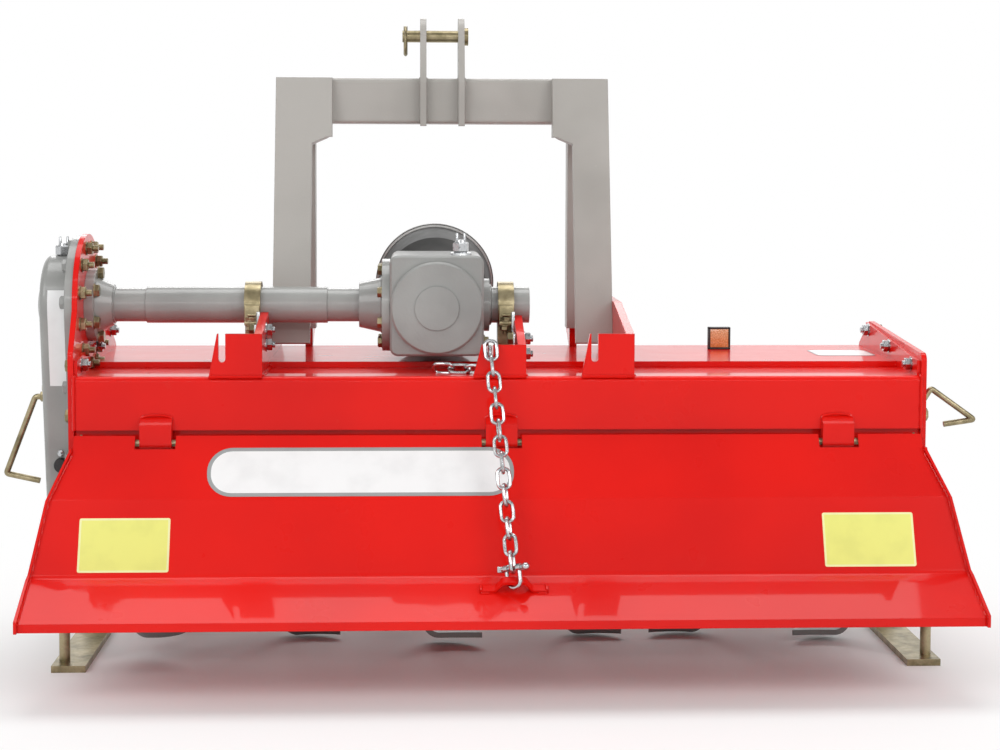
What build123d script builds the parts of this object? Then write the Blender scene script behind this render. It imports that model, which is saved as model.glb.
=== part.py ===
from build123d import *
from math import acos, atan2, cos, hypot, pi, radians, sin, tan
import os

# Rotary tiller for a tractor's three-point hitch, seen from behind with X to the right, Y forwards
# to the tractor and Z up from the ground. Sizes are in millimetres. While it is modelled, X = 0 lies
# midway between the side plates and Y = 0 on the rear face of the rear beam.

# Main frame
WORK_WIDTH = 1250
SIDE_PLATE = 8
SHEET = 5
BEND = 8
BEAM_HEIGHT = 78
BEAM_DEPTH = 131
DECK_STEP = 9
DECK_FRONT = 410
APRON_DROP = 90
FRONT_BEAM = 46

# Rotor
ROTOR_Y = 200
GROUND_GAP = 8
TIP_R = 207
HOOD_GAP = 12
ROTOR_TUBE_R = 38
TINE_END = 75
TINE_FLANGE_R = 78
TINE_PLATE = 8
TINE_ARM = 42
TINE_REACH = 92
TINE_BEND = 26
TINE_SWEEP = 16
TINE_TURNS = (30, 6, -10, 4, 66, 54)
BLADES = 6
ROTOR_SHAFT_R = 22

# Cross shaft, gearbox and drive
SHAFT_Y = 150
SHAFT_RISE = 94
HITCH_X = -82
GEARBOX_X = -93
INPUT_RISE = 4.4
GEARBOX_WIDTH = 140
GEARBOX_HEIGHT = 150
GEARBOX_REAR = 78
GEARBOX_FRONT = 250
COVER_R = 69
TUBE_R = 27.5
CASE_THICK = 43
CASE_FLANGE = 12
CASE_TOP_R = 75
CASE_FOOT_R = 80
PTO_R = 17.4
PTO_REACH = 95
SHIELD_R = 97
SHIELD_DEPTH = 165
SHIELD_WALL = 3
SHIELD_LIP = 10
SPLINES = 6
SPLINE_DEPTH = 2.7
SPLINE_GAP = 9.4

# Saddle plates and hitch
SADDLE = 12
SADDLE_RISE = 2
SLOT_PLATE = 8
SLOT_PLATE_WIDTH = 77
SLOT_PLATE_HEIGHT = 62
CHAIN_PLATE_HEIGHT = 46
SLOT = 10
SLOT_DEPTH = 41
CHAIN_SLOT_DEPTH = 23
LINK_PIN_Y = 445
LINK_PIN_RISE = 54
LINK_PIN_R = 11.2
LINK_EAR_R = 28
LINK_GAP = 40
MAST_RISE = 445
MAST_BEAM = 72
MAST_DEPTH = 60
MAST_REAR = 300
MAST_FOOT_Y = 190
MAST_FOOT_RISE = 32
LEG_WIDTH = 58
LEG_PLATE = 10
HEAD_WIDTH = 89
HEAD_HEIGHT = 94
MAST_HALF = 263.7
EAR = 10
EAR_GAP = 51
TOP_PIN_Y = 352
TOP_PIN_RISE = 69
TOP_PIN_R = 9.5
TOP_EAR_R = 29

# Rear flap
FLAP_SHEET = 4
FLAP_BEND = 12
FLAP_TOP_Y = -8
FLAP_DROP = 6
HINGE_DOWN = 7
HINGE_ROD_R = 5
KNUCKLE_R = 10
KNUCKLE = 30
FACETS = ((100, 33), (110, 22), (103, 65), (12, 0))
FLAP_INSET = 10
FLAP_BEND_FLARE = 26
FLAP_TAIL_FLARE = 45
FLAP_END = 4
FLAP_END_REAR = 7
FLAP_END_FRONT = 30

# Chain
WIRE_R = 2.75
LINK_WIDTH = 21
CHAIN_LINKS = 13
TAIL_LINKS = 3
CHAIN_X = -17
ANCHOR_X = 12

# Skids and handles
SKID_WIDTH = 50
SKID_BAR = 10
SKID_REAR = 10
SKID_SOLE = 250
POST_R = 8
HANDLE_R = 4.5
HANDLE_Y = 120
HANDLE_DROP = 54
HANDLE_OUT = 115

# Clearances
RUNNING = 0.05
HINGE_PLAY = 0.2
EASY = 0.3
SWING = 6

# Heights follow from the rotor: the blades clear the ground and the hood, and the rest stands on
# the hood's beam. The tine sets share the width between the side plates.
HALF = WORK_WIDTH / 2
INNER = HALF - SIDE_PLATE
ROTOR_Z = TIP_R + GROUND_GAP
BEAM_TOP = ROTOR_Z + TIP_R + HOOD_GAP
BEAM_BOTTOM = BEAM_TOP - BEAM_HEIGHT
FLAP_TOP_Z = BEAM_BOTTOM - FLAP_DROP
SHAFT_Z = BEAM_TOP + SHAFT_RISE
SADDLE_TOP = SHAFT_Z + SADDLE_RISE
LINK_PIN_Z = BEAM_TOP + LINK_PIN_RISE
MAST_TOP = BEAM_TOP + MAST_RISE
MAST_FOOT_Z = BEAM_TOP + MAST_FOOT_RISE
TOP_PIN_Z = MAST_TOP + TOP_PIN_RISE
HANDLE_Z = BEAM_TOP - HANDLE_DROP
TINE_PITCH = (WORK_WIDTH - 2 * TINE_END) / (len(TINE_TURNS) - 1)
DECK_TOP = BEAM_TOP + DECK_STEP
DECK_UNDER = DECK_TOP - SHEET
CASE_OUTER = HALF + CASE_FLANGE + CASE_THICK
FLAP_TOP_HALF = HALF - FLAP_INSET
FLAP_BEND_HALF = FLAP_TOP_HALF + FLAP_BEND_FLARE
FLAP_TAIL_HALF = FLAP_TOP_HALF + FLAP_TAIL_FLARE


def slab_x(outline, x0, x1):
    """A plate across the machine: an outline in Y and Z, from x0 to x1."""
    return extrude(Plane.YZ.offset(x0) * outline, amount=x1 - x0, dir=(1, 0, 0))


def slab_y(outline, y0, y1):
    """A plate along the machine's width: an outline in X and Z, from y0 to y1."""
    return extrude(Plane.XZ.offset(-y0) * outline, amount=y1 - y0, dir=(0, 1, 0))


def slab_z(outline, z0, z1):
    """A flat plate: an outline in X and Y, from z0 to z1."""
    return extrude(Plane.XY.offset(z0) * outline, amount=z1 - z0, dir=(0, 0, 1))


def rod_x(radius, x0, x1, y, z):
    return Pos((x0 + x1) / 2, y, z) * Rot(0, 90, 0) * Cylinder(radius, x1 - x0)


def rod_y(radius, y0, y1, x, z):
    return Pos(x, (y0 + y1) / 2, z) * Rot(90, 0, 0) * Cylinder(radius, y1 - y0)


def rod_z(radius, z0, z1, x, y):
    return Pos(x, y, (z0 + z1) / 2) * Cylinder(radius, z1 - z0)


def turned_x(stations, y, z):
    """A turned piece on an axis along X: pairs of place and radius, in order."""
    first, last = stations[0][0], stations[-1][0]
    outline = Polygon((first, 0), *stations, (last, 0), align=None)
    return Pos(0, y, z) * revolve(outline, Axis.X)


def turned_y(stations, x, z):
    """A turned piece on an axis along Y: pairs of place and radius, in order."""
    first, last = stations[0][0], stations[-1][0]
    outline = Polygon((0, first), *[(r, y) for y, r in stations], (0, last), align=None)
    return Pos(x, 0, z) * revolve(outline, Axis.Y)


def eased(outline, radius, *corners):
    """An outline with the corners nearest to the given points rounded."""
    near = [outline.vertices().sort_by_distance((*corner, 0))[0] for corner in corners]
    return fillet(near, radius)


def shifted(points, amount):
    """A bent line moved to its left by the amount, with mitred corners."""
    moved = []
    for i, (u, v) in enumerate(points):
        before = points[max(i - 1, 0)]
        after = points[min(i + 1, len(points) - 1)]
        ways = []
        for (a, b), (c, d) in ((before, (u, v)), ((u, v), after)):
            run = hypot(c - a, d - b)
            if run:
                ways.append((-(d - b) / run, (c - a) / run))
        nu = sum(way[0] for way in ways) / len(ways)
        nv = sum(way[1] for way in ways) / len(ways)
        reach = amount / (nu * nu + nv * nv)
        moved.append((u + nu * reach, v + nv * reach))
    return moved


def strip(points, near, far):
    """A bent strip seen on edge, between two distances to the left of a line."""
    return Polygon(*shifted(points, near), *reversed(shifted(points, far)), align=None)


def egg(y1, z1, r1, y2, z2, r2):
    """The outline of a belt round two circles."""
    run = hypot(y2 - y1, z2 - z1)
    ahead = atan2(z2 - z1, y2 - y1)
    lean = acos((r1 - r2) / run)

    def rim(y, z, r, turn):
        return (y + r * cos(ahead + turn), z + r * sin(ahead + turn))

    edges = [
        Line(rim(y1, z1, r1, lean), rim(y2, z2, r2, lean)),
        ThreePointArc(rim(y2, z2, r2, lean), rim(y2, z2, r2, 0), rim(y2, z2, r2, -lean)),
        Line(rim(y2, z2, r2, -lean), rim(y1, z1, r1, -lean)),
        ThreePointArc(rim(y1, z1, r1, -lean), rim(y1, z1, r1, pi), rim(y1, z1, r1, lean)),
    ]
    return make_face(edges)


# Hinge axis: one knuckle's radius in front of the flap's outer face, a little below its top edge
TOP_LEAN = radians(FACETS[0][1])
HINGE_Y = FLAP_TOP_Y - HINGE_DOWN * sin(TOP_LEAN) + KNUCKLE_R * cos(TOP_LEAN)
HINGE_Z = FLAP_TOP_Z - HINGE_DOWN * cos(TOP_LEAN) - KNUCKLE_R * sin(TOP_LEAN)


# Rear flap line: the outer face of the folded sheet, from its top edge down
def flap_line():
    y, z = FLAP_TOP_Y, FLAP_TOP_Z
    points = [(y, z)]
    for length, lean in FACETS:
        y -= length * sin(radians(lean))
        z -= length * cos(radians(lean))
        points.append((y, z))
    return points


FLAP = flap_line()
FLAP_REAR = FLAP[-1][0] - FLAP_END_REAR
FRONT_REACH = LINK_PIN_Y + LINK_EAR_R
ORIGIN_Y = (FLAP_REAR + FRONT_REACH) / 2


def write(name, *solids):
    """Write one piece, moved so that the origin is under the middle of the machine."""
    export_step(Pos(0, -ORIGIN_Y, 0) * (Part() + list(solids)), f"parts/{name}.step")


os.makedirs("parts", exist_ok=True)


# Rear beam, a folded torsion box with the hinge lugs of the flap on its lower edge
LUGS = (-498, 0, 492)
LUG_WIDTH = 46


def rear_beam():
    outline = Polygon(
        (0, BEAM_BOTTOM),
        (0, BEAM_TOP),
        (BEAM_DEPTH + SHEET, BEAM_TOP),
        (BEAM_DEPTH + SHEET, BEAM_TOP - 2 * SHEET),
        align=None,
    )
    beam = slab_x(eased(outline, BEND, (0, BEAM_TOP)), -INNER, INNER)
    eye = Pos(HINGE_Y, HINGE_Z) * Circle(KNUCKLE_R)
    strap = Polygon(
        (HINGE_Y - KNUCKLE_R, HINGE_Z),
        (HINGE_Y - KNUCKLE_R, BEAM_BOTTOM + KNUCKLE_R),
        (0, BEAM_BOTTOM + 2 * KNUCKLE_R),
        (SHEET, BEAM_BOTTOM + 2 * KNUCKLE_R),
        (SHEET, HINGE_Z),
        align=None,
    )
    bore = Pos(HINGE_Y, HINGE_Z) * Circle(HINGE_ROD_R + HINGE_PLAY)
    lugs = [slab_x(eye + strap - bore, x - LUG_WIDTH / 2, x + LUG_WIDTH / 2) for x in LUGS]
    return beam + lugs


write("rear_beam", rear_beam())


# Deck, one folded sheet: rear lip on the beam, flat top, apron down at the front, and a
# flange up at each end, which the side plates are bolted to
FLANGE_REAR = 10
FLANGE_FRONT = 334
FLANGE_TOP = 22


def deck_sheet():
    line = [
        (BEAM_DEPTH, BEAM_TOP),
        (BEAM_DEPTH, DECK_TOP),
        (DECK_FRONT, DECK_TOP),
        (DECK_FRONT + APRON_DROP / 4, DECK_TOP - APRON_DROP),
    ]
    outline = eased(strip(line, -SHEET, 0), BEND, (DECK_FRONT, DECK_TOP))
    deck = slab_x(outline, -INNER, INNER)
    flange = Polygon(
        (FLANGE_REAR, BEAM_TOP),
        (BEAM_DEPTH, BEAM_TOP),
        (BEAM_DEPTH, DECK_TOP),
        (FLANGE_FRONT + FLANGE_TOP, DECK_TOP),
        (FLANGE_FRONT, DECK_TOP + 2 * FLANGE_TOP),
        (FLANGE_REAR, BEAM_TOP + FLANGE_TOP),
        align=None,
    )
    return deck + slab_x(flange, -INNER, SHEET - INNER) + slab_x(flange, INNER - SHEET, INNER)


write("deck_sheet", deck_sheet())


# Front beam, a square tube under the deck's front edge
def front_beam():
    outline = RectangleRounded(FRONT_BEAM, FRONT_BEAM, SHEET)
    outline -= RectangleRounded(FRONT_BEAM - 2 * SHEET, FRONT_BEAM - 2 * SHEET, SHEET / 2)
    middle_y = DECK_FRONT - SHEET - FRONT_BEAM / 2
    return slab_x(Pos(middle_y, DECK_UNDER - FRONT_BEAM / 2) * outline, -INNER, INNER)


write("front_beam", front_beam())


# Side plates, with a hole for the rotor's bearing housing
HUB_R = 45
PLATE_FOOT_R = 115
PLATE_REAR = 4
PLATE_FRONT = 405


def side_outline(top):
    foot = Pos(ROTOR_Y, ROTOR_Z) * Circle(PLATE_FOOT_R)
    sides = Polygon(
        (ROTOR_Y - PLATE_FOOT_R, ROTOR_Z),
        (PLATE_REAR, BEAM_BOTTOM - 40),
        *top,
        (PLATE_FRONT, BEAM_BOTTOM - 40),
        (ROTOR_Y + PLATE_FOOT_R, ROTOR_Z),
        align=None,
    )
    hole = Pos(ROTOR_Y, ROTOR_Z) * Circle(HUB_R)
    return sides + foot - hole


HEAD_R = 107


def round_head(outline, radius):
    """An outline with a round head about the cross shaft."""
    return outline + Pos(SHAFT_Y, SHAFT_Z) * Circle(radius)


def side_plate_left():
    top = [
        (PLATE_REAR, BEAM_TOP + 32),
        (SHAFT_Y - HEAD_R, SHAFT_Z),
        (SHAFT_Y + HEAD_R, SHAFT_Z),
        (PLATE_FRONT, BEAM_TOP + 12),
    ]
    outline = eased(side_outline(top), 16, top[0], top[3])
    return slab_x(round_head(outline, HEAD_R), -HALF, -INNER)


def side_plate_right():
    top = [
        (PLATE_REAR, BEAM_TOP + 32),
        (FLANGE_FRONT, DECK_TOP + 2 * FLANGE_TOP + 2),
        (PLATE_FRONT, BEAM_TOP + 12),
    ]
    outline = eased(side_outline(top), 12, *top)
    return slab_x(outline, INNER, HALF)


write("side_plate_left", side_plate_left())
write("side_plate_right", side_plate_right())


# Saddle plates: upright plates along the deck that carry the cross tube, the mast and the
# lower link ears, each with a slotted plate across its rear end
SADDLE_LEFT = HITCH_X - MAST_HALF - SADDLE
SADDLE_RIGHT = HITCH_X + MAST_HALF
SADDLE_CENTRE = 24
CENTRE_FRONT = 250


def slot_plate(x1, height, slot_x, depth):
    """The plate across a saddle plate's rear end, with its slot open at the top."""
    x0 = x1 - SLOT_PLATE_WIDTH
    top = BEAM_TOP + height
    outline = Polygon((x0, BEAM_TOP), (x1, BEAM_TOP), (x1, top), (x0 + 12, top), align=None)
    straight = depth - SLOT / 2
    slot = Pos(slot_x, top - straight / 2) * Rectangle(SLOT, straight)
    slot += Pos(slot_x, top - straight) * Circle(SLOT / 2)
    return slab_y(outline - slot, 0, SLOT_PLATE)


def saddle_plate(x, front, link_eye):
    base = [(SLOT_PLATE, BEAM_TOP), (BEAM_DEPTH, BEAM_TOP), (BEAM_DEPTH, DECK_TOP)]
    if link_eye:
        base += [(DECK_FRONT, DECK_TOP), (LINK_PIN_Y, LINK_PIN_Z - LINK_EAR_R)]
        base += [(LINK_PIN_Y, LINK_PIN_Z + LINK_EAR_R), (front, SADDLE_TOP)]
    else:
        base += [(front, DECK_TOP), (front, SADDLE_TOP - 40)]
    height = SLOT_PLATE_HEIGHT if link_eye else CHAIN_PLATE_HEIGHT
    base += [(SHAFT_Y + TUBE_R + 6, SADDLE_TOP), (SLOT_PLATE, BEAM_TOP + height)]
    outline = Polygon(*base, align=None)
    if link_eye:
        outline += Pos(LINK_PIN_Y, LINK_PIN_Z) * Circle(LINK_EAR_R)
        outline -= Pos(LINK_PIN_Y, LINK_PIN_Z) * Circle(LINK_PIN_R)
    saddle = Pos(SHAFT_Y, SHAFT_Z) * Circle(TUBE_R)
    saddle += Pos(SHAFT_Y, SHAFT_Z + TUBE_R) * Rectangle(2 * TUBE_R, 2 * TUBE_R)
    if x < SADDLE_RIGHT:
        outline -= saddle
    return slab_x(outline, x, x + SADDLE)


left_end = SADDLE_LEFT + SADDLE
right_end = SADDLE_RIGHT + SADDLE
centre_end = SADDLE_CENTRE + SADDLE
slot_left = left_end - SLOT_PLATE_WIDTH + 19
slot_right = right_end - SLOT_PLATE_WIDTH + 19
write(
    "saddle_plate_left",
    saddle_plate(SADDLE_LEFT, DECK_FRONT, True)
    + slot_plate(left_end, SLOT_PLATE_HEIGHT, slot_left, SLOT_DEPTH),
)
write(
    "saddle_plate_right",
    saddle_plate(SADDLE_RIGHT, DECK_FRONT, True)
    + slot_plate(right_end, SLOT_PLATE_HEIGHT, slot_right, SLOT_DEPTH),
)
write(
    "saddle_plate_centre",
    saddle_plate(SADDLE_CENTRE, CENTRE_FRONT, False)
    + slot_plate(centre_end, CHAIN_PLATE_HEIGHT, CHAIN_X, CHAIN_SLOT_DEPTH),
)


# Lower link ears: the inner ear of each pair
def lower_link_ear(x):
    outline = Polygon(
        (LINK_PIN_Y - 2 * LINK_EAR_R, DECK_TOP),
        (DECK_FRONT, DECK_TOP),
        (LINK_PIN_Y, LINK_PIN_Z - LINK_EAR_R),
        (LINK_PIN_Y, LINK_PIN_Z + LINK_EAR_R),
        (LINK_PIN_Y - 2 * LINK_EAR_R, LINK_PIN_Z + LINK_EAR_R),
        align=None,
    )
    outline += Pos(LINK_PIN_Y, LINK_PIN_Z) * Circle(LINK_EAR_R)
    outline -= Pos(LINK_PIN_Y, LINK_PIN_Z) * Circle(LINK_PIN_R)
    return slab_x(outline, x, x + SADDLE)


write(
    "lower_link_ears",
    lower_link_ear(left_end + LINK_GAP),
    lower_link_ear(SADDLE_RIGHT - LINK_GAP - SADDLE),
)


# Mast: two slanted rear legs with wide heads, two upright front legs and a head beam
LEG_LEAN = atan2(MAST_REAR - MAST_FOOT_Y, MAST_TOP - MAST_FOOT_Z)
BEAM_Y = MAST_REAR + LEG_PLATE / cos(LEG_LEAN)
FRONT_LEG_DEPTH = 40
FRONT_LEG_Y = BEAM_Y + MAST_DEPTH


def mast_rear_leg(side):
    """A flat leg that leans forwards, widened inwards at its head, with a flange to the beam."""
    length = (MAST_TOP - MAST_FOOT_Z) / cos(LEG_LEAN)
    outline = Polygon(
        (MAST_HALF, 0),
        (MAST_HALF, length),
        (MAST_HALF - HEAD_WIDTH, length),
        (MAST_HALF - HEAD_WIDTH, length - HEAD_HEIGHT),
        (MAST_HALF - LEG_WIDTH, length - HEAD_HEIGHT - 14),
        (MAST_HALF - LEG_WIDTH, 0),
        align=None,
    )
    outline = eased(outline, 14, (MAST_HALF - HEAD_WIDTH, length - HEAD_HEIGHT))
    if side < 0:
        outline = mirror(outline, Plane.YZ)
    slant = Plane(
        origin=(HITCH_X, MAST_FOOT_Y, MAST_FOOT_Z),
        x_dir=(1, 0, 0),
        z_dir=(0, -cos(LEG_LEAN), sin(LEG_LEAN)),
    )
    leg = extrude(slant * outline, amount=LEG_PLATE, dir=(0, cos(LEG_LEAN), -sin(LEG_LEAN)))
    side_face = Polygon(
        (MAST_REAR, MAST_TOP),
        (BEAM_Y, MAST_TOP),
        (BEAM_Y, MAST_TOP - HEAD_HEIGHT),
        (MAST_REAR - HEAD_HEIGHT * tan(LEG_LEAN), MAST_TOP - HEAD_HEIGHT),
        align=None,
    )
    for edge in (MAST_HALF - LEG_PLATE, MAST_HALF - HEAD_WIDTH):
        x0 = HITCH_X + (edge if side > 0 else -edge - LEG_PLATE)
        leg += slab_x(side_face, x0, x0 + LEG_PLATE)
    top = Box(4 * MAST_HALF, 2000, 200, align=(Align.CENTER, Align.CENTER, Align.MIN))
    return leg - Pos(HITCH_X, 0, MAST_TOP) * top


def mast_front_leg(side):
    """A channel that stands on its two feet in front of the head beam, open to the front."""
    width = LEG_WIDTH
    depth = FRONT_LEG_DEPTH
    channel = Pos(0, depth / 2) * Rectangle(width, depth)
    channel -= Pos(0, depth / 2 + SHEET) * Rectangle(width - 2 * SHEET, depth)
    x = HITCH_X + side * (MAST_HALF - width / 2)
    return slab_z(Pos(x, FRONT_LEG_Y) * channel, MAST_FOOT_Z + 8, MAST_TOP)


def mast_beam():
    outline = RectangleRounded(MAST_DEPTH, MAST_BEAM, 6)
    outline -= RectangleRounded(MAST_DEPTH - 2 * SHEET, MAST_BEAM - 2 * SHEET, 2)
    middle = Pos(BEAM_Y + MAST_DEPTH / 2, MAST_TOP - MAST_BEAM / 2)
    return slab_x(middle * outline, HITCH_X - MAST_HALF, HITCH_X + MAST_HALF)


write("mast_rear_leg_left", mast_rear_leg(-1))
write("mast_rear_leg_right", mast_rear_leg(1))
write("mast_front_leg_left", mast_front_leg(-1))
write("mast_front_leg_right", mast_front_leg(1))
write("mast_beam", mast_beam())


# Top link: two ears welded over the head beam, the pin with its head and a spring clip
EAR_INNER = EAR_GAP / 2
EAR_OUTER = EAR_INNER + EAR
PIN_HEAD = 6.5
PIN_TAIL = 64


def top_link_ear(x):
    outline = Polygon(
        (BEAM_Y - 14, MAST_TOP - MAST_BEAM - 4),
        (BEAM_Y, MAST_TOP - MAST_BEAM - 4),
        (BEAM_Y, MAST_TOP),
        (TOP_PIN_Y + TOP_EAR_R, MAST_TOP),
        (TOP_PIN_Y + TOP_EAR_R, TOP_PIN_Z),
        (TOP_PIN_Y - TOP_EAR_R, TOP_PIN_Z),
        (BEAM_Y - 14, MAST_TOP - 6),
        align=None,
    )
    outline += Pos(TOP_PIN_Y, TOP_PIN_Z) * Circle(TOP_EAR_R)
    outline -= Pos(TOP_PIN_Y, TOP_PIN_Z) * Circle(TOP_PIN_R + RUNNING)
    return slab_x(outline, x, x + EAR)


def top_link_pin():
    pin = rod_x(TOP_PIN_R, HITCH_X - PIN_TAIL, HITCH_X + EAR_OUTER, TOP_PIN_Y, TOP_PIN_Z)
    head_x = HITCH_X + EAR_OUTER
    head = rod_x(1.5 * TOP_PIN_R, head_x, head_x + PIN_HEAD, TOP_PIN_Y, TOP_PIN_Z)
    return pin + head


CLIP_R = 23.5
CLIP_DROP = 7.5
CLIP_WIRE = 2
CLIP_SIDES = 12


def top_link_clip():
    """A linch pin: a sprung ring round the pin, and its shank that shows above and below it."""
    corners = []
    for i in range(CLIP_SIDES):
        turn = 2 * pi * (i + 0.5) / CLIP_SIDES
        corners.append((0, CLIP_R * sin(turn), CLIP_R * cos(turn) - CLIP_DROP))
    path = Polyline(*corners, close=True)
    section = Plane(origin=path @ 0, z_dir=path % 0) * RegularPolygon(CLIP_WIRE, 6)
    ring = sweep(section, path=path, transition=Transition.RIGHT)
    near = TOP_PIN_R + EASY
    ring += rod_z(CLIP_WIRE, near, CLIP_R - CLIP_DROP, 0, 0)
    ring += rod_z(CLIP_WIRE, -CLIP_R - CLIP_DROP, -near, 0, 0)
    return Pos(HITCH_X - PIN_TAIL + 5, TOP_PIN_Y, TOP_PIN_Z) * ring


write("top_link_ears", top_link_ear(HITCH_X - EAR_OUTER), top_link_ear(HITCH_X + EAR_INNER))
write("top_link_pin", top_link_pin())
write("top_link_clip", top_link_clip())


# Gearbox: a cast housing with a round rear cover, an input cap and a filler plug
GEARBOX_TOP = SHAFT_Z + GEARBOX_HEIGHT / 2 + 3
CAP_R = 58
CAP_DEPTH = 30
COVER_DEPTH = 8
CAP_START = GEARBOX_FRONT - SHAFT_Y
CAP_END = CAP_START + CAP_DEPTH
INPUT = Pos(GEARBOX_X, SHAFT_Y, SHAFT_Z) * Rot(INPUT_RISE, 0, 0)


def input_piece(stations):
    """A turned piece on the input shaft's line, which rises a little towards the tractor."""
    return INPUT * turned_y(stations, 0, 0)


def gearbox_housing():
    depth = GEARBOX_FRONT - GEARBOX_REAR
    middle = Pos(GEARBOX_X, (GEARBOX_FRONT + GEARBOX_REAR) / 2, GEARBOX_TOP - GEARBOX_HEIGHT / 2)
    body = middle * Box(GEARBOX_WIDTH, depth, GEARBOX_HEIGHT)
    body = fillet(body.edges().filter_by(Axis.Y), 12)
    body = chamfer(body.faces().sort_by(Axis.Y)[0].edges(), 3)
    body = body + input_piece([(CAP_START - 20, CAP_R), (CAP_END - 4, CAP_R), (CAP_END, CAP_R - 4)])
    return body - input_piece([(CAP_START, PTO_R + RUNNING), (CAP_END, PTO_R + RUNNING)])


def gearbox_rear_cover():
    rear = GEARBOX_REAR - COVER_DEPTH
    return turned_y(
        [(rear - 2, 33), (rear, 33), (rear, COVER_R - 3), (rear + 3, COVER_R), (GEARBOX_REAR, COVER_R)],
        GEARBOX_X,
        SHAFT_Z,
    )


def gearbox_filler():
    x, y = GEARBOX_X + 36, GEARBOX_REAR + 30
    collar = rod_z(10, GEARBOX_TOP, GEARBOX_TOP + 8, x, y)
    plug = slab_z(Pos(x, y) * RegularPolygon(11, 6), GEARBOX_TOP + 8, GEARBOX_TOP + 18)
    return collar + plug + rod_z(5, GEARBOX_TOP + 18, GEARBOX_TOP + 28, x, y)


write("gearbox_housing", gearbox_housing())
write("gearbox_rear_cover", gearbox_rear_cover())
write("gearbox_filler", gearbox_filler())


# Input shield, a bell with a rolled lip, open to the front round the splined shaft
def pto_shield():
    neck = CAP_R + SHIELD_WALL
    front = CAP_START + SHIELD_DEPTH
    rear = CAP_START + neck * tan(radians(INPUT_RISE)) + EASY
    bell = [
        (rear, neck),
        (CAP_START + 35, neck),
        (CAP_START + 80, SHIELD_R - 14),
        (front - SHIELD_LIP, SHIELD_R - 4),
        (front - SHIELD_LIP, SHIELD_R),
        (front, SHIELD_R),
    ]
    hollow = [(y, r - SHIELD_WALL) for y, r in bell if r < SHIELD_R]
    mouth = (front, SHIELD_R - 4 - SHIELD_WALL)
    return input_piece(bell) - input_piece([*hollow, mouth])


def pto_shaft():
    """A six-spline shaft, left round where it runs in the cap."""
    end = CAP_END + PTO_REACH
    shaft = rod_y(PTO_R, CAP_START + EASY, end, 0, 0)
    groove = slab_y(Pos(0, PTO_R) * Rectangle(SPLINE_GAP, 2 * SPLINE_DEPTH), CAP_END + EASY, end)
    for i in range(SPLINES):
        shaft -= Rot(0, i * 360 / SPLINES, 0) * groove
    return INPUT * shaft


write("pto_shield", pto_shield())
write("pto_shaft", pto_shaft())


# Cross tubes: the long one to the side drive, the short one through its clamp
GEARBOX_LEFT = GEARBOX_X - GEARBOX_WIDTH / 2
GEARBOX_RIGHT = GEARBOX_X + GEARBOX_WIDTH / 2
TUBE_NECK_R = 25.4


def axle_tube_left():
    start = -INNER
    stations = [
        (start, 55),
        (start + 14, 55),
        (start + 14, 42),
        (start + 38, TUBE_R + 3),
        (start + 38, TUBE_NECK_R),
        (start + 87, TUBE_NECK_R),
        (start + 87, TUBE_R),
        (GEARBOX_LEFT - 95, TUBE_R),
        (GEARBOX_LEFT - 95, TUBE_NECK_R),
        (GEARBOX_LEFT - 47, TUBE_NECK_R),
        (GEARBOX_LEFT - 47, 34),
        (GEARBOX_LEFT - 12, 42),
        (GEARBOX_LEFT - 12, 70),
        (GEARBOX_LEFT, 70),
    ]
    return turned_x(stations, SHAFT_Y, SHAFT_Z)


def axle_tube_right():
    end = SADDLE_CENTRE + 2 * SADDLE
    stations = [(GEARBOX_RIGHT, 40), (GEARBOX_RIGHT + 10, 40), (GEARBOX_RIGHT + 10, TUBE_R), (end, TUBE_R)]
    return turned_x(stations, SHAFT_Y, SHAFT_Z)


write("axle_tube_left", axle_tube_left())
write("axle_tube_right", axle_tube_right())


# Tube clamps: a band round the tube with a foot bolted to the saddle plate beside it
CLAMP_WIDTH = 24
CLAMP_WALL = 8


def tube_clamp(x1):
    x0 = x1 - CLAMP_WIDTH
    band = Pos(SHAFT_Y, SHAFT_Z) * Circle(TUBE_R + CLAMP_WALL)
    foot = Pos(SHAFT_Y, SHAFT_Z - TUBE_R - 18) * Rectangle(34, 44)
    bore = Pos(SHAFT_Y, SHAFT_Z) * Circle(TUBE_R)
    return slab_x(band + foot - bore, x0, x1)


write("tube_clamp_left", tube_clamp(SADDLE_LEFT))
write("tube_clamp_right", tube_clamp(SADDLE_CENTRE))


# Side drive: a flange bolted to the left plate and a cast case over the gear train
CASE_BOSS_R = 27
IDLER_RISE = 27.5
PLUG_RISE = 5


def gear_case_flange():
    foot_r = CASE_FOOT_R + 25
    head_r = HEAD_R - 3
    outline = egg(SHAFT_Y, SHAFT_Z, head_r, ROTOR_Y, ROTOR_Z, foot_r)
    flange = slab_x(outline, -HALF - CASE_FLANGE, -HALF)
    spigot = rod_x(HUB_R, -HALF, 30 - HALF, ROTOR_Y, ROTOR_Z)
    bore = rod_x(ROTOR_SHAFT_R + RUNNING, -HALF - CASE_FLANGE, 40 - HALF, ROTOR_Y, ROTOR_Z)
    return flange + spigot - bore


def gear_case():
    outline = egg(SHAFT_Y, SHAFT_Z, CASE_TOP_R, ROTOR_Y, ROTOR_Z, CASE_FOOT_R)
    body = slab_x(outline, -CASE_OUTER, -HALF - CASE_FLANGE)
    body = fillet(body.faces().sort_by(Axis.X)[0].edges(), 10)
    boss = rod_x(CASE_BOSS_R, -CASE_OUTER - 7, 10 - CASE_OUTER, SHAFT_Y, SHAFT_Z)
    idler_z = (SHAFT_Z + ROTOR_Z) / 2 + IDLER_RISE
    idler = rod_x(17, -CASE_OUTER - 8, 10 - CASE_OUTER, (SHAFT_Y + ROTOR_Y) / 2, idler_z)
    return body + boss + idler


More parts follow.
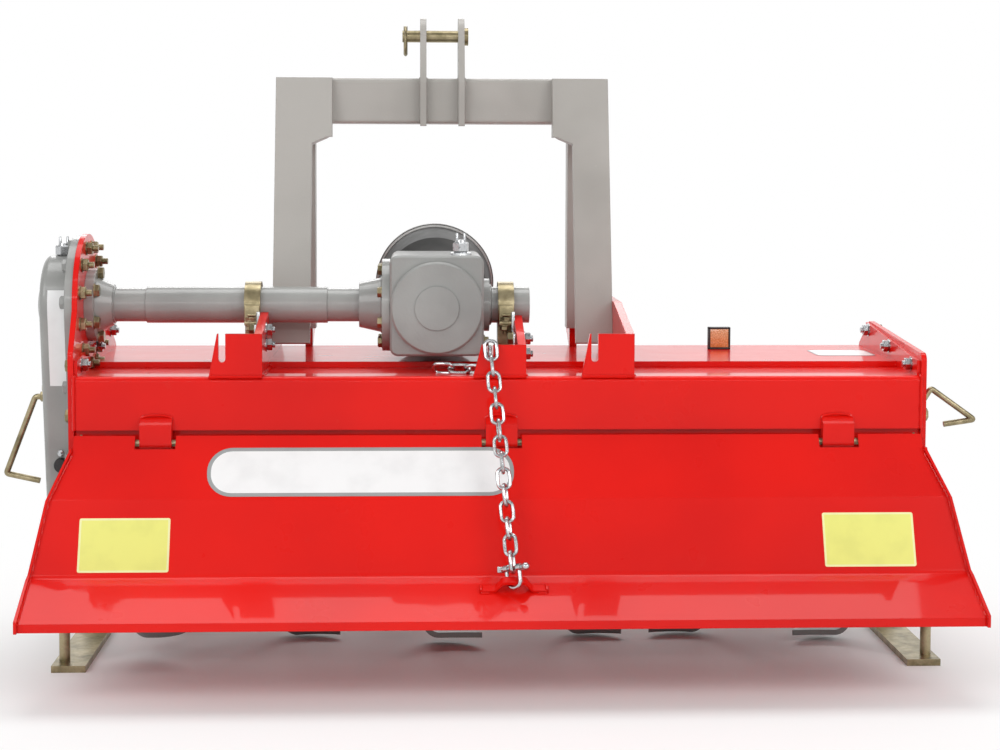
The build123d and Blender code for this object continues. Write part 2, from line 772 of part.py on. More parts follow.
def gear_case_fittings():
    """The breather on top and the level plug low on the rear wall."""
    x = -HALF - CASE_FLANGE - CASE_THICK / 2
    top = SHAFT_Z + CASE_TOP_R
    breather = rod_z(8, top - 1, top + 12, x, SHAFT_Y) + rod_z(4, top + 12, top + 26, x, SHAFT_Y)
    wall_y = ROTOR_Y - CASE_FOOT_R
    plug = rod_y(9, wall_y - 40, wall_y, x, ROTOR_Z + CASE_FOOT_R + PLUG_RISE)
    return breather, plug


case = gear_case()
breather, plug = gear_case_fittings()
write("gear_case", case)
write("gear_case_flange", gear_case_flange())
write("gear_case_fittings", breather - case, plug - case)


# Rotor bearing housing on the right plate
def rotor_hub():
    stations = [
        (HALF - SIDE_PLATE - 22, HUB_R),
        (HALF, HUB_R),
        (HALF, 70),
        (HALF + 10, 70),
        (HALF + 10, HUB_R + 3),
        (HALF + 40, HUB_R - 5),
    ]
    hub = turned_x(stations, ROTOR_Y, ROTOR_Z)
    bore = rod_x(ROTOR_SHAFT_R + RUNNING, HALF - 40, HALF + 20, ROTOR_Y, ROTOR_Z)
    return hub - bore


write("rotor_hub", rotor_hub())


# Rotor: a tube with a stub shaft at each end, and flanges that carry bent blades
def rotor_tube():
    end = INNER - 27
    stations = [
        (-HALF, ROTOR_SHAFT_R),
        (-end, ROTOR_SHAFT_R),
        (-end, ROTOR_TUBE_R),
        (end, ROTOR_TUBE_R),
        (end, ROTOR_SHAFT_R),
        (HALF + 18, ROTOR_SHAFT_R),
    ]
    return turned_x(stations, ROTOR_Y, ROTOR_Z)


def blade(turn, side):
    """One blade: an arm on the flange, rolled over sideways into a cutting tip that is swept back."""
    root = TINE_FLANGE_R - 24
    half = TINE_ARM / 2
    under = TIP_R - TINE_PLATE
    profile = Polygon(
        (0, root),
        (0, TIP_R),
        (TINE_REACH, TIP_R),
        (TINE_REACH, under),
        (TINE_PLATE, under),
        (TINE_PLATE, root),
        align=None,
    )
    profile = eased(profile, TINE_BEND, (0, TIP_R))
    profile = eased(profile, TINE_BEND - TINE_PLATE, (TINE_PLATE, under))
    plan = make_face(
        [
            Line((-1, -half), (TINE_PLATE + TINE_BEND, -half)),
            ThreePointArc(
                (TINE_PLATE + TINE_BEND, -half),
                (TINE_REACH - 16, TINE_SWEEP - half + 1),
                (TINE_REACH, half),
            ),
            ThreePointArc((TINE_REACH, half), (TINE_REACH - 30, half - 4), (TINE_PLATE + 14, half)),
            Line((TINE_PLATE + 14, half), (-1, half)),
            Line((-1, half), (-1, -half)),
        ]
    )
    piece = slab_y(profile, -half, half) & slab_z(plan, 0, TIP_R + 1)
    if side < 0:
        piece = Pos(TINE_PLATE, 0, 0) * mirror(piece, Plane.YZ)
    return Rot(turn, 0, 0) * piece


def tine_set(number):
    x = (number - (len(TINE_TURNS) - 1) / 2) * TINE_PITCH
    ring = Circle(TINE_FLANGE_R) - Circle(ROTOR_TUBE_R)
    piece = slab_x(ring, 0, TINE_PLATE)
    for i in range(BLADES):
        side = 1 if i % 2 else -1
        if number == 0:
            side = 1
        if number == len(TINE_TURNS) - 1:
            side = -1
        piece += blade(i * 360 / BLADES + TINE_TURNS[number], side)
    return Pos(x - TINE_PLATE / 2, ROTOR_Y, ROTOR_Z) * piece


write("rotor_tube", rotor_tube())
for number in range(len(TINE_TURNS)):
    write(f"tine_set_{number + 1}", tine_set(number))


# Rear flap: a sheet folded in three facets that widens downwards, hung on the hinge rod,
# with a narrow end plate along each slanted side
KNUCKLE_END = FLAP_TOP_HALF - KNUCKLE
KNUCKLES = (-KNUCKLE_END, -200, 200, KNUCKLE_END)


def flap_outline(grow):
    """The flap seen from behind, its sides moved out by grow."""
    right = [
        (FLAP_TOP_HALF + grow, FLAP_TOP_Z + 40),
        (FLAP_TOP_HALF + grow, FLAP_TOP_Z - 21),
        (FLAP_BEND_HALF + grow, FLAP[1][1]),
        (FLAP_TAIL_HALF + grow, FLAP[2][1]),
        (FLAP_TAIL_HALF + grow, 0),
    ]
    left = [(-x, z) for x, z in reversed(right)]
    return Polygon(*right, *left, align=None)


def down(run):
    """A place on the flap's first facet, at a distance below its top edge."""
    return (FLAP_TOP_Y - run * sin(TOP_LEAN), FLAP_TOP_Z - run * cos(TOP_LEAN))


def flap_sheet():
    """The folded sheet, cut away round the beam's lugs, with a knuckle behind it at four places."""
    outline = strip(FLAP, 0, FLAP_SHEET)
    inside = shifted(FLAP, FLAP_SHEET)
    for i in (1, 2):
        outline = eased(outline, FLAP_BEND, FLAP[i])
        outline = eased(outline, FLAP_BEND, inside[i])
    sheet = slab_x(outline, -2 * HALF, 2 * HALF)
    sheet &= slab_y(flap_outline(0), -2 * HALF, 2 * HALF)
    reach = KNUCKLE_R + SWING
    window = Pos(HINGE_Y, HINGE_Z) * Rectangle(2 * reach, 2 * reach)
    for x in LUGS:
        sheet -= slab_x(window, x - LUG_WIDTH / 2 - SWING, x + LUG_WIDTH / 2 + SWING)
    eye = Pos(HINGE_Y, HINGE_Z) * Circle(KNUCKLE_R)
    bore = Pos(HINGE_Y, HINGE_Z) * Circle(HINGE_ROD_R + HINGE_PLAY)
    tail = Polygon(
        down(HINGE_DOWN),
        down(HINGE_DOWN + 2 * KNUCKLE_R),
        shifted([down(HINGE_DOWN), down(HINGE_DOWN + KNUCKLE_R)], KNUCKLE_R)[1],
        (HINGE_Y, HINGE_Z),
        align=None,
    )
    for x in KNUCKLES:
        sheet += slab_x(eye + tail - bore, x - KNUCKLE / 2, x + KNUCKLE / 2)
    return sheet


def flap_end(side):
    """A narrow plate along the flap's slanted side, clear of the side plate in front of it."""
    band = slab_x(strip(FLAP, -FLAP_END_REAR, FLAP_END_FRONT), -2 * HALF, 2 * HALF)
    rim = slab_y(flap_outline(FLAP_END) - flap_outline(0), -2 * HALF, 2 * HALF)
    half = Pos(side * HALF, PLATE_REAR - SWING - 2 * HALF, 0) * Box(2 * HALF, 4 * HALF, 4 * HALF)
    below = Pos(0, 0, HINGE_Z - SWING) * Box(
        4 * HALF, 4 * HALF, 4 * HALF, align=(Align.CENTER, Align.CENTER, Align.MAX)
    )
    return band & rim & half & below


write("flap_sheet", flap_sheet())
write("flap_end_left", flap_end(-1))
write("flap_end_right", flap_end(1))
write("hinge_rod", rod_x(HINGE_ROD_R, -INNER + 4, INNER - 4, HINGE_Y, HINGE_Z))


# Chain that holds the flap: links from the middle slot down to a shackle on the flap's
# tail, and a short end of it left lying on the beam
ANCHOR_AT = 0.33
ANCHOR_RISE = 14
ANCHOR_WIDTH = 14
ANCHOR_BOW = 26
ANCHOR_FOOT = 48
SHACKLE_R = 3
SHACKLE_LONG = 28
SHACKLE_HALF = 13
LINK_TURN = 8
PITCH = 24.2
KEY_Z = BEAM_TOP + CHAIN_PLATE_HEIGHT - CHAIN_SLOT_DEPTH + LINK_WIDTH / 2 + EASY


def chain_link(pitch):
    """One welded link, drawn as straight runs round its two ends."""
    half_width = LINK_WIDTH / 2 - WIRE_R
    straight = pitch / 2 + EASY + WIRE_R - half_width
    corner = half_width / cos(pi / LINK_TURN)
    points = []
    for end in (1, -1):
        for i in range(LINK_TURN // 2):
            turn = pi * (i + 0.5) / (LINK_TURN / 2)
            points.append((end * corner * cos(turn), 0, end * (straight + corner * sin(turn))))
    path = Polyline(*points, close=True)
    section = Plane(origin=path @ 0, z_dir=path % 0) * RegularPolygon(WIRE_R, 6)
    return sweep(section, path=path, transition=Transition.RIGHT)


def hang(shape, at, along, flat):
    """A link placed with its length along one way and its flat side facing another."""
    across = Vector(*flat).cross(Vector(*along))
    return Plane(origin=at, x_dir=across, z_dir=along) * shape


def anchor_seat():
    """The plane of the flap's tail at the anchor, its Y axis pointing out of the sheet."""
    (y1, z1), (y2, z2) = FLAP[2], FLAP[3]
    place = (ANCHOR_X, y1 + (y2 - y1) * ANCHOR_AT, z1 + (z2 - z1) * ANCHOR_AT)
    return Plane(origin=place, x_dir=(1, 0, 0), z_dir=(0, y2 - y1, z2 - z1))


SEAT = anchor_seat()
CHAIN_TOP = Vector(CHAIN_X, -6.5, KEY_Z - 5)
STRAP_MIDDLE = SEAT.origin + SEAT.y_dir * (ANCHOR_RISE + FLAP_SHEET / 2)
CHAIN_WAY = (STRAP_MIDDLE - CHAIN_TOP).normalized()
BOW = STRAP_MIDDLE + CHAIN_WAY * (ANCHOR_WIDTH / 2 + SHACKLE_R)
PIN = BOW - CHAIN_WAY * SHACKLE_LONG
CHAIN_FOOT = PIN + CHAIN_WAY * (SHACKLE_R + EASY)
REARWARD = Vector(1, 0, 0).cross(CHAIN_WAY).normalized()


def chain():
    way = CHAIN_FOOT - CHAIN_TOP
    pitch = way.length / CHAIN_LINKS
    links = []
    for i in range(CHAIN_LINKS):
        place = CHAIN_TOP + way * ((i + 0.5) / CHAIN_LINKS)
        flat = Vector(1, 0, 0) if i % 2 else REARWARD
        links.append(hang(chain_link(pitch), place, CHAIN_WAY, flat))
    return links


def chain_tail():
    """The link that sits in the slot, the one that drops in front of it and those on the beam."""
    key = Vector(CHAIN_X, SLOT_PLATE / 2, KEY_Z)
    links = [hang(chain_link(PITCH), key, Vector(0, 1, 0), Vector(1, 0, 0))]
    lying = (LINK_WIDTH / 2 - WIRE_R) * sin(radians(45)) + WIRE_R + EASY
    rest = Vector(CHAIN_X - 8, 33, BEAM_TOP + lying)
    drop = rest - Vector(CHAIN_X, SLOT_PLATE / 2 + PITCH / 2, KEY_Z - 5)
    links.append(hang(chain_link(drop.length), rest - drop / 2, drop, drop.cross(Vector(0, 1, 1))))
    along = Vector(-1, 0.25, 0).normalized()
    for i in range(TAIL_LINKS):
        flat = Vector(0, -1, 1) if i % 2 else Vector(0, 1, 1)
        place = rest + along * (PITCH * (i + 0.5))
        links.append(hang(chain_link(PITCH), place, along, flat))
    return links


def chain_anchor():
    """A bowed strap across the flap's tail, with a shackle round it that holds the chain."""
    crown = ANCHOR_BOW - 10
    bow = [(-ANCHOR_FOOT, 0), (-ANCHOR_BOW, 0), (-crown, ANCHOR_RISE)]
    bow += [(-u, v) for u, v in reversed(bow)]
    strap = extrude(SEAT * strip(bow, 0, FLAP_SHEET), amount=ANCHOR_WIDTH / 2, both=True)
    corners = []
    for side, reach in ((1, PIN), (1, BOW), (-1, BOW), (-1, PIN)):
        corners.append(reach + REARWARD * (side * SHACKLE_HALF))
    path = FilletPolyline(*corners, radius=SHACKLE_HALF - 2)
    ring = sweep(Plane(origin=path @ 0, z_dir=path % 0) * RegularPolygon(SHACKLE_R, 8), path=path)
    middle = Plane(origin=PIN, z_dir=REARWARD)
    pin = middle * Cylinder(SHACKLE_R, 2 * SHACKLE_HALF + 4 * SHACKLE_R)
    return strap, ring + pin


write("chain", *chain())
write("chain_tail", *chain_tail())
write("chain_anchor", *chain_anchor())


# Skids: a flat bar turned up at the front, on a tab and a rear post at each side plate
SKID_TAB_Y = 332
SKID_TAB_TOP = ROTOR_Z + 15
POST_INSET = 35
POST_TOP = ROTOR_Z + 17
POST_SOCKET = 40


def skid(side):
    line = [
        (SKID_REAR, 0),
        (SKID_REAR + SKID_SOLE, 0),
        (SKID_REAR + SKID_SOLE + 70, 46),
        (SKID_REAR + SKID_SOLE + 110, 108),
    ]
    outline = strip(line, 0, SKID_BAR)
    near = HALF - (SKID_WIDTH / 2 - 5)
    bar = slab_x(outline, near, near + SKID_WIDTH)
    tab = Polygon(
        (SKID_TAB_Y - 20, 46),
        (SKID_TAB_Y + 20, 60),
        (SKID_TAB_Y + 20, SKID_TAB_TOP),
        (SKID_TAB_Y - 20, SKID_TAB_TOP),
        align=None,
    )
    bar += slab_x(tab, HALF, HALF + 8)
    post_y = SKID_REAR + POST_INSET
    bar += rod_z(POST_R, SKID_BAR, POST_TOP, HALF + 2 * POST_R, post_y)
    socket_z = POST_TOP - POST_SOCKET / 2 - 7
    bar += Pos(HALF + POST_R, post_y, socket_z) * Box(2 * POST_R, 30, POST_SOCKET)
    return bar if side > 0 else mirror(bar, Plane.YZ)


write("skid_left", skid(-1))
write("skid_right", skid(1))


# Bent rod handles on the right plate and on the side drive
def bent_rod(points, radius, turn):
    path = FilletPolyline(*points, radius=turn)
    return sweep(Plane(origin=path @ 0, z_dir=path % 0) * RegularPolygon(radius, 8), path=path)


def handle_right():
    points = [
        (HALF, HANDLE_Y, HANDLE_Z),
        (HALF + 24, HANDLE_Y, HANDLE_Z),
        (HALF + 38, HANDLE_Y, HANDLE_Z + 22),
        (HALF + HANDLE_OUT, HANDLE_Y, HANDLE_Z - 26),
        (HALF + HANDLE_OUT - 47, HANDLE_Y, HANDLE_Z - 33),
    ]
    return bent_rod(points, HANDLE_R, 6)


def handle_left():
    points = [
        (-CASE_OUTER, HANDLE_Y, HANDLE_Z + 12),
        (-CASE_OUTER - 14, HANDLE_Y, HANDLE_Z + 12),
        (-HALF - HANDLE_OUT, HANDLE_Y, HANDLE_Z - 104),
        (50 - HALF - HANDLE_OUT, HANDLE_Y, HANDLE_Z - 115),
    ]
    return bent_rod(points, HANDLE_R, 6)


write("handle_right", handle_right())
write("handle_left", handle_left())


# Reflector block standing on the deck
REFLECTOR = 36
REFLECTOR_IN = 255
REFLECTOR_Y = 335


def reflector():
    block = Box(REFLECTOR, REFLECTOR / 3, REFLECTOR, align=(Align.CENTER, Align.CENTER, Align.MIN))
    return Pos(HALF - REFLECTOR_IN, REFLECTOR_Y, DECK_TOP) * block


write("reflector", reflector())
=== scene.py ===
from math import cos, pi, radians, sin

import bmesh
import bpy
from mathutils import Matrix, Vector


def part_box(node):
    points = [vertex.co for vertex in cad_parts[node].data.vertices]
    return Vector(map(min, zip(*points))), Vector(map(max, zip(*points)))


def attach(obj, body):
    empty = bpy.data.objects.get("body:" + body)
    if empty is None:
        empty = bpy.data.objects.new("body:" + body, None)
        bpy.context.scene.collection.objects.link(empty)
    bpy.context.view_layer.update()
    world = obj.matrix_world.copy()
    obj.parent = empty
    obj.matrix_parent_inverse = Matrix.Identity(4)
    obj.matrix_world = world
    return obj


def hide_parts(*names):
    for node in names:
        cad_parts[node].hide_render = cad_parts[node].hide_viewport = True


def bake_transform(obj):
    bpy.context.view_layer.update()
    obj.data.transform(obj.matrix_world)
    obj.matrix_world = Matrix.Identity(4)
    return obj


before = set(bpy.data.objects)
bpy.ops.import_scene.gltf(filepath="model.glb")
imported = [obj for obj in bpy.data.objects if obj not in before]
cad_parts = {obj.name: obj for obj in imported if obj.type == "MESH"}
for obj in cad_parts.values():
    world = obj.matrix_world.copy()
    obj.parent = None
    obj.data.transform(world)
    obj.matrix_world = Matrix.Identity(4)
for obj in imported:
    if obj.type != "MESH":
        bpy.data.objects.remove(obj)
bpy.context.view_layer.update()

# Studio floor: a pale sheet that keeps the machine's shadow near it and runs out to plain white,
# with the same white behind it.
FLOOR_SIZE = 60.0
SHADOW_REACH = 0.45
SHADOW_FADE = 1.25
FLOOR_WHITE = (0.94, 0.94, 0.94, 1)


class Shade:
    """A value in a finish's node tree; sums and products of it add Math nodes to the tree."""

    def __init__(self, tree, socket=None):
        self.tree = tree
        self.socket = socket

    def node(self, kind, settings=None, inputs=None, out=0):
        """A node of any type, its settings made first and its sockets filled or linked after."""
        made = self.tree.nodes.new(kind)
        for name, value in (settings or {}).items():
            if name == "stops":
                ramp = made.color_ramp
                ramp.elements[0].position, ramp.elements[0].color = value[0]
                ramp.elements[1].position, ramp.elements[1].color = value[-1]
                for place, colour in value[1:-1]:
                    ramp.elements.new(place).color = colour
            else:
                setattr(made, name, value)
        for name, value in (inputs or {}).items():
            if isinstance(value, Shade):
                self.tree.links.new(value.socket, made.inputs[name])
            else:
                made.inputs[name].default_value = value
        return Shade(self.tree, made.outputs[out])

    def math(self, operation, first, second=0.0):
        return self.node("ShaderNodeMath", {"operation": operation}, {0: first, 1: second})

    def __add__(self, other):
        return self.math("ADD", self, other)

    def __sub__(self, other):
        return self.math("SUBTRACT", self, other)

    def __rsub__(self, other):
        return self.math("SUBTRACT", other, self)

    def __mul__(self, other):
        return self.math("MULTIPLY", self, other)

    def ramp(self, low, high):
        """0 below low and 1 above high, smooth between."""
        limits = {"Value": self, "From Min": low, "From Max": high}
        return self.node("ShaderNodeMapRange", {"interpolation_type": "SMOOTHSTEP"}, limits)

    def mix(self, under, over):
        """One colour over another, with this value as the mask."""
        return self.node("ShaderNodeMix", {"data_type": "RGBA"}, {0: self, 6: under, 7: over}, 2)


def new_finish(name):
    """An empty finish: its material, its tree and the shader that it ends in."""
    material = bpy.data.materials.new(name)
    material.use_nodes = True
    tree = material.node_tree
    return material, Shade(tree), tree.nodes["Principled BSDF"]


def ray_kinds(tree):
    """Whether a ray comes from the camera, off a mirroring surface or through a clear one."""
    path = tree.node("ShaderNodeLightPath").socket.node
    names = ("Is Camera Ray", "Is Glossy Ray", "Is Transmission Ray")
    return [Shade(tree.tree, path.outputs[name]) for name in names]


def studio_floor():
    bpy.ops.mesh.primitive_plane_add(size=FLOOR_SIZE)
    floor = bpy.context.object
    floor.name = "studio_floor"
    material, tree, shader = new_finish("floor_sheet")
    shader.inputs["Base Color"].default_value = FLOOR_WHITE
    shader.inputs["Roughness"].default_value = 0.9
    shader.inputs["Specular IOR Level"].default_value = 0.1
    place = tree.node("ShaderNodeTexCoord", out=3)
    away = tree.node("ShaderNodeVectorMath", {"operation": "LENGTH"}, {0: place}, 1)
    seen, mirrored, through = ray_kinds(tree)
    white = away.ramp(SHADOW_REACH, SHADOW_FADE) * (seen + mirrored + through)
    glow = tree.node("ShaderNodeEmission", inputs={"Color": (1, 1, 1, 1), "Strength": 1.0})
    lit = Shade(tree.tree, shader.outputs[0])
    both = tree.node("ShaderNodeMixShader", inputs={0: white, 1: lit, 2: glow})
    tree.tree.links.new(both.socket, tree.tree.nodes["Material Output"].inputs["Surface"])
    floor.data.materials.append(material)


studio_floor()

# Studio backdrop and lamps: white all round, dimmer for the light that it throws on the machine
# and where a ceiling would mirror in it, with soft boxes above, left, right and in front, and a long
# strip lamp behind the camera.
WORLD_LIGHT = 0.50
CEILING_FADE = (0.2, 0.7)
SOFT_BOXES = (
    # place, aimed at, width, depth, watts
    ((-2.6, -3.2, 3.0), (0.0, 0.0, 0.45), 2.2, 2.2, 54),
    ((2.8, -3.0, 2.6), (0.0, 0.0, 0.45), 2.0, 2.0, 46),
    ((0.0, 0.6, 3.4), (0.0, 0.1, 0.4), 3.0, 1.6, 45),
    ((0.0, 3.2, 2.2), (0.0, 0.0, 0.5), 3.0, 1.2, 30),
    ((0.3, -5.2, 2.0), (0.0, 0.0, 0.45), 4.2, 0.24, 22),
)


def studio_backdrop():
    world = bpy.data.worlds.new("studio_backdrop")
    bpy.context.scene.world = world
    world.use_nodes = True
    tree = Shade(world.node_tree)
    seen, mirrored, through = ray_kinds(tree)
    way = tree.node("ShaderNodeTexCoord", out=0)
    height = tree.node("ShaderNodeSeparateXYZ", inputs={0: way}, out=2)
    dimmed = mirrored * (1 - height.ramp(*CEILING_FADE))
    white = tree.node("ShaderNodeMath", {"operation": "MINIMUM"}, {0: seen + dimmed + through, 1: 1.0})
    background = world.node_tree.nodes["Background"]
    background.inputs["Color"].default_value = (1, 1, 1, 1)
    strength = white * (1 - WORLD_LIGHT) + WORLD_LIGHT
    world.node_tree.links.new(strength.socket, background.inputs["Strength"])


def soft_box(number, place, aim, width, depth, watts):
    data = bpy.data.lights.new(f"soft_box_{number}", "AREA")
    data.shape = "RECTANGLE"
    data.size, data.size_y, data.energy = width, depth, watts
    lamp = bpy.data.objects.new(data.name, data)
    bpy.context.collection.objects.link(lamp)
    lamp.location = place
    lamp.rotation_euler = (Vector(aim) - Vector(place)).to_track_quat("-Z", "Y").to_euler()


studio_backdrop()
for number, box in enumerate(SOFT_BOXES):
    soft_box(number, *box)

# Camera: behind the machine, a little to the left, at about chest height, with the long lens
# that the straight uprights of the hitch call for.
CAMERA_AT = (-0.1245, -2.9034, 0.7297)
CAMERA_RIGHT = 0.0440
CAMERA_DOWN = 0.0654
CAMERA_ROLL = 0.0033
CAMERA_LENS = 69.08
CAMERA_SENSOR = 36
CAMERA_SHIFT = -0.077


def studio_camera():
    camera = bpy.data.objects.new("studio_camera", bpy.data.cameras.new("studio_camera"))
    bpy.context.collection.objects.link(camera)
    camera.data.lens = CAMERA_LENS
    camera.data.sensor_width = CAMERA_SENSOR
    camera.data.shift_y = CAMERA_SHIFT
    turn = Matrix.Rotation(-CAMERA_RIGHT, 4, "Z")
    tilt = Matrix.Rotation(pi / 2 - CAMERA_DOWN, 4, "X")
    roll = Matrix.Rotation(CAMERA_ROLL, 4, "Z")
    camera.matrix_world = Matrix.Translation(CAMERA_AT) @ turn @ tilt @ roll
    bpy.context.scene.camera = camera


studio_camera()
bpy.context.scene.view_settings.view_transform = "Standard"

# Red hood: beam, deck, side plates, saddle plates and flap are welded steel sheet under one thick
# coat of glossy red powder, with a faint orange peel and a little dust in it.
RED_NODES = (
    "rear_beam",
    "deck_sheet",
    "front_beam",
    "side_plate_left",
    "side_plate_right",
    "saddle_plate_left",
    "saddle_plate_right",
    "saddle_plate_centre",
    "lower_link_ears",
    "flap_sheet",
    "flap_end_left",
    "flap_end_right",
    "chain_anchor",
)
RED = (0.76, 0.008, 0.004, 1)
RED_DEEP = (0.65, 0.006, 0.004, 1)
RED_DUST = (0.66, 0.06, 0.04, 1)
EDGE_ROUND = 0.0020
SOCKETS = {
    "base": "Base Color",
    "rough": "Roughness",
    "metal": "Metallic",
    "shine": "Specular IOR Level",
    "coat": "Coat Weight",
    "coat_rough": "Coat Roughness",
    "coat_ior": "Coat IOR",
}


def object_place(tree):
    return tree.node("ShaderNodeTexCoord", out=3)


def noise(tree, scale, detail=3.0, rough=0.5):
    place = object_place(tree)
    settings = {"Vector": place, "Scale": scale, "Detail": detail, "Roughness": rough}
    return tree.node("ShaderNodeTexNoise", None, settings)


def bumped(tree, shader, height, strength, distance, radius):
    """Feeds a height into the shader as bump, over sharp edges rounded off by a radius."""
    eased = tree.node("ShaderNodeBevel", {"samples": 4}, {"Radius": radius})
    sockets = {"Strength": strength, "Distance": distance, "Height": height, "Normal": eased}
    bump = tree.node("ShaderNodeBump", None, sockets)
    tree.tree.links.new(bump.socket, shader.inputs["Normal"])


def feed(tree, shader, **values):
    """Fills the shader's sockets: links what varies over the surface and sets the rest."""
    for name, value in values.items():
        socket = shader.inputs[SOCKETS[name]]
        if isinstance(value, Shade):
            tree.tree.links.new(value.socket, socket)
        else:
            socket.default_value = value


def red_powder():
    material, tree, shader = new_finish("red_powder_coat")
    drift = noise(tree, 3.0).ramp(0.35, 0.7)
    dust = noise(tree, 42.0, 6.0, 0.7).ramp(0.60, 0.78) * noise(tree, 7.0).ramp(0.45, 0.65) * 0.25
    base = dust.mix(drift.mix(RED, RED_DEEP), RED_DUST)
    rough = noise(tree, 18.0) * 0.10 + 0.24 + dust * 0.5
    feed(tree, shader, base=base, rough=rough, shine=0.1)
    feed(tree, shader, coat=0.6, coat_ior=1.3, coat_rough=0.04)
    peel = noise(tree, 330.0, 2.0) + noise(tree, 12.0) * 3.0
    bumped(tree, shader, peel, 0.10, 0.0006, EDGE_ROUND)
    return material


def coat(finish, names):
    for name in names:
        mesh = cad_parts[name].data
        mesh.materials.clear()
        mesh.materials.append(finish)


red_finish = red_powder()
coat(red_finish, RED_NODES)

# Welds of the hood: rippled beads along the feet of the saddle plates and their slotted ends, over
# the hinge lugs and down both ends of the rear beam, all under the same red powder.
REAR_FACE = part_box("saddle_plate_left")[0].y
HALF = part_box("side_plate_right")[1].x
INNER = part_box("side_plate_right")[0].x
BEAM_TOP = 0.434
BEAM_BOTTOM = 0.356
BEAM_DEPTH = 0.131
SADDLE = 0.012
SLOT_PLATE = 0.008
SEAM_DROP = 0.065
BEAD = 0.0028
LUG_MIDDLES = (-0.498, 0.0, 0.492)
LUG_HALF = 0.023
LUG_HIGH = 0.021
SHARP = radians(35)


def at(x, y, z):
    """A place: across from the machine's middle, forwards from its rear face, up from the ground."""
    return Vector((x, REAR_FACE + y, z))


def join(mesh, made):
    """Turns a closed form's faces outwards, adds it to a piece's mesh and frees it."""
    bmesh.ops.recalc_face_normals(made, faces=made.faces[:])
    part = bpy.data.meshes.new("part")
    made.to_mesh(part)
    made.free()
    mesh.from_mesh(part)
    bpy.data.meshes.remove(part)


def add_curve(mesh, data):
    """Adds a curve's tube to a piece's mesh."""
    carrier = bpy.data.objects.new("carrier", data)
    tube = bpy.data.meshes.new_from_object(carrier)
    made = bmesh.new()
    made.from_mesh(tube)
    bpy.data.objects.remove(carrier)
    bpy.data.curves.remove(data)
    bpy.data.meshes.remove(tube)
    bmesh.ops.remove_doubles(made, verts=made.verts[:], dist=1e-6)
    join(mesh, made)


def tube_curve(kind, places, radius, roundness):
    data = bpy.data.curves.new("tube", "CURVE")
    data.dimensions = "3D"
    data.bevel_depth = radius
    data.bevel_resolution = roundness
    data.use_fill_caps = True
    line = data.splines.new(kind)
    line.points.add(len(places) - 1)
    for point, place in zip(line.points, places):
        point.co = (*place, 1)
    return data, line


def weld(mesh, points, radius=BEAD):
    """Adds a rippled bead along the straight runs between some points."""
    places = []
    for start, end in zip(points, points[1:]):
        steps = max(2, round((end - start).length / radius))
        places += [start.lerp(end, step / steps) for step in range(steps)]
    data, line = tube_curve("POLY", [*places, points[-1]], radius, 1)
    for step, point in enumerate(line.points):
        point.radius = 0.78 + 0.22 * abs(sin(1.9 * step)) + 0.1 * sin(0.7 * step)
    add_curve(mesh, data)


def piece(name, mesh, finishes, slot, body, *nodes):
    """Makes a mesh into a finished piece that rides on a body and may stand for some nodes."""
    data = bpy.data.meshes.new(name)
    mesh.to_mesh(data)
    mesh.free()
    data.shade_smooth()
    data.set_sharp_from_angle(angle=SHARP)
    for finish in finishes:
        data.materials.append(finish)
    made = bpy.data.objects.new(name, data)
    bpy.context.collection.objects.link(made)
    if body:
        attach(made, body)
    if nodes:
        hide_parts(*nodes)
    return made


def hood_welds():
    mesh = bmesh.new()
    for name in ("saddle_plate_left", "saddle_plate_right", "saddle_plate_centre"):
        low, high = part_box(name)
        right = high.x + BEAD / 3
        left = right - SADDLE - 2 * BEAD / 3
        corner, front = at(left, SLOT_PLATE + 0.002, BEAM_TOP), at(left, BEAM_DEPTH, BEAM_TOP)
        weld(mesh, [at(low.x, -BEAD / 3, BEAM_TOP), at(high.x, -BEAD / 3, BEAM_TOP)])
        weld(mesh, [at(low.x, SLOT_PLATE, BEAM_TOP), corner, front])
        weld(mesh, [at(right, SLOT_PLATE, BEAM_TOP), at(right, BEAM_DEPTH, BEAM_TOP)])
        weld(mesh, [at(left, SLOT_PLATE, BEAM_TOP), at(left, SLOT_PLATE, high.z - SEAM_DROP)])
    for middle in LUG_MIDDLES:
        top = BEAM_BOTTOM + LUG_HIGH
        arc = [
            at(middle + LUG_HALF * cos(turn), -BEAD / 2, top - 0.004 + 0.006 * sin(turn))
            for turn in [pi * step / 8 for step in range(9)]
        ]
        weld(mesh, arc, 0.0022)
    for side in (-1, 1):
        x = side * (INNER - BEAD / 3)
        bottom, top = at(x, -BEAD / 3, BEAM_BOTTOM), at(x, -BEAD / 3, BEAM_TOP)
        weld(mesh, [bottom, top, at(x, BEAM_DEPTH, BEAM_TOP)])
    return piece("hood_welds", mesh, [red_finish], "red_paint", "frame")


hood_welds()

# Mast: flat bar and square tube welded up, in satin warm grey paint that sits over rolled steel
# with a fine grain.
MAST_NODES = (
    "mast_rear_leg_left",
    "mast_rear_leg_right",
    "mast_front_leg_left",
    "mast_front_leg_right",
    "mast_beam",
    "top_link_ears",
)
MAST_GREY = (0.41, 0.392, 0.365, 1)
MAST_GREY_DEEP = (0.335, 0.32, 0.295, 1)
MAST_SCUFF = (0.46, 0.445, 0.42, 1)


def mast_paint():
    material, tree, shader = new_finish("mast_grey_paint")
    drift = noise(tree, 5.0).ramp(0.35, 0.7)
    scuff = noise(tree, 60.0, 8.0, 0.75).ramp(0.62, 0.72) * 0.35
    feed(tree, shader, base=scuff.mix(drift.mix(MAST_GREY, MAST_GREY_DEEP), MAST_SCUFF))
    feed(tree, shader, rough=noise(tree, 25.0) * 0.16 + 0.34, coat=0.2, coat_rough=0.25)
    grain = noise(tree, 420.0, 3.0) + noise(tree, 30.0) * 1.5
    bumped(tree, shader, grain, 0.16, 0.0007, EDGE_ROUND)
    return material


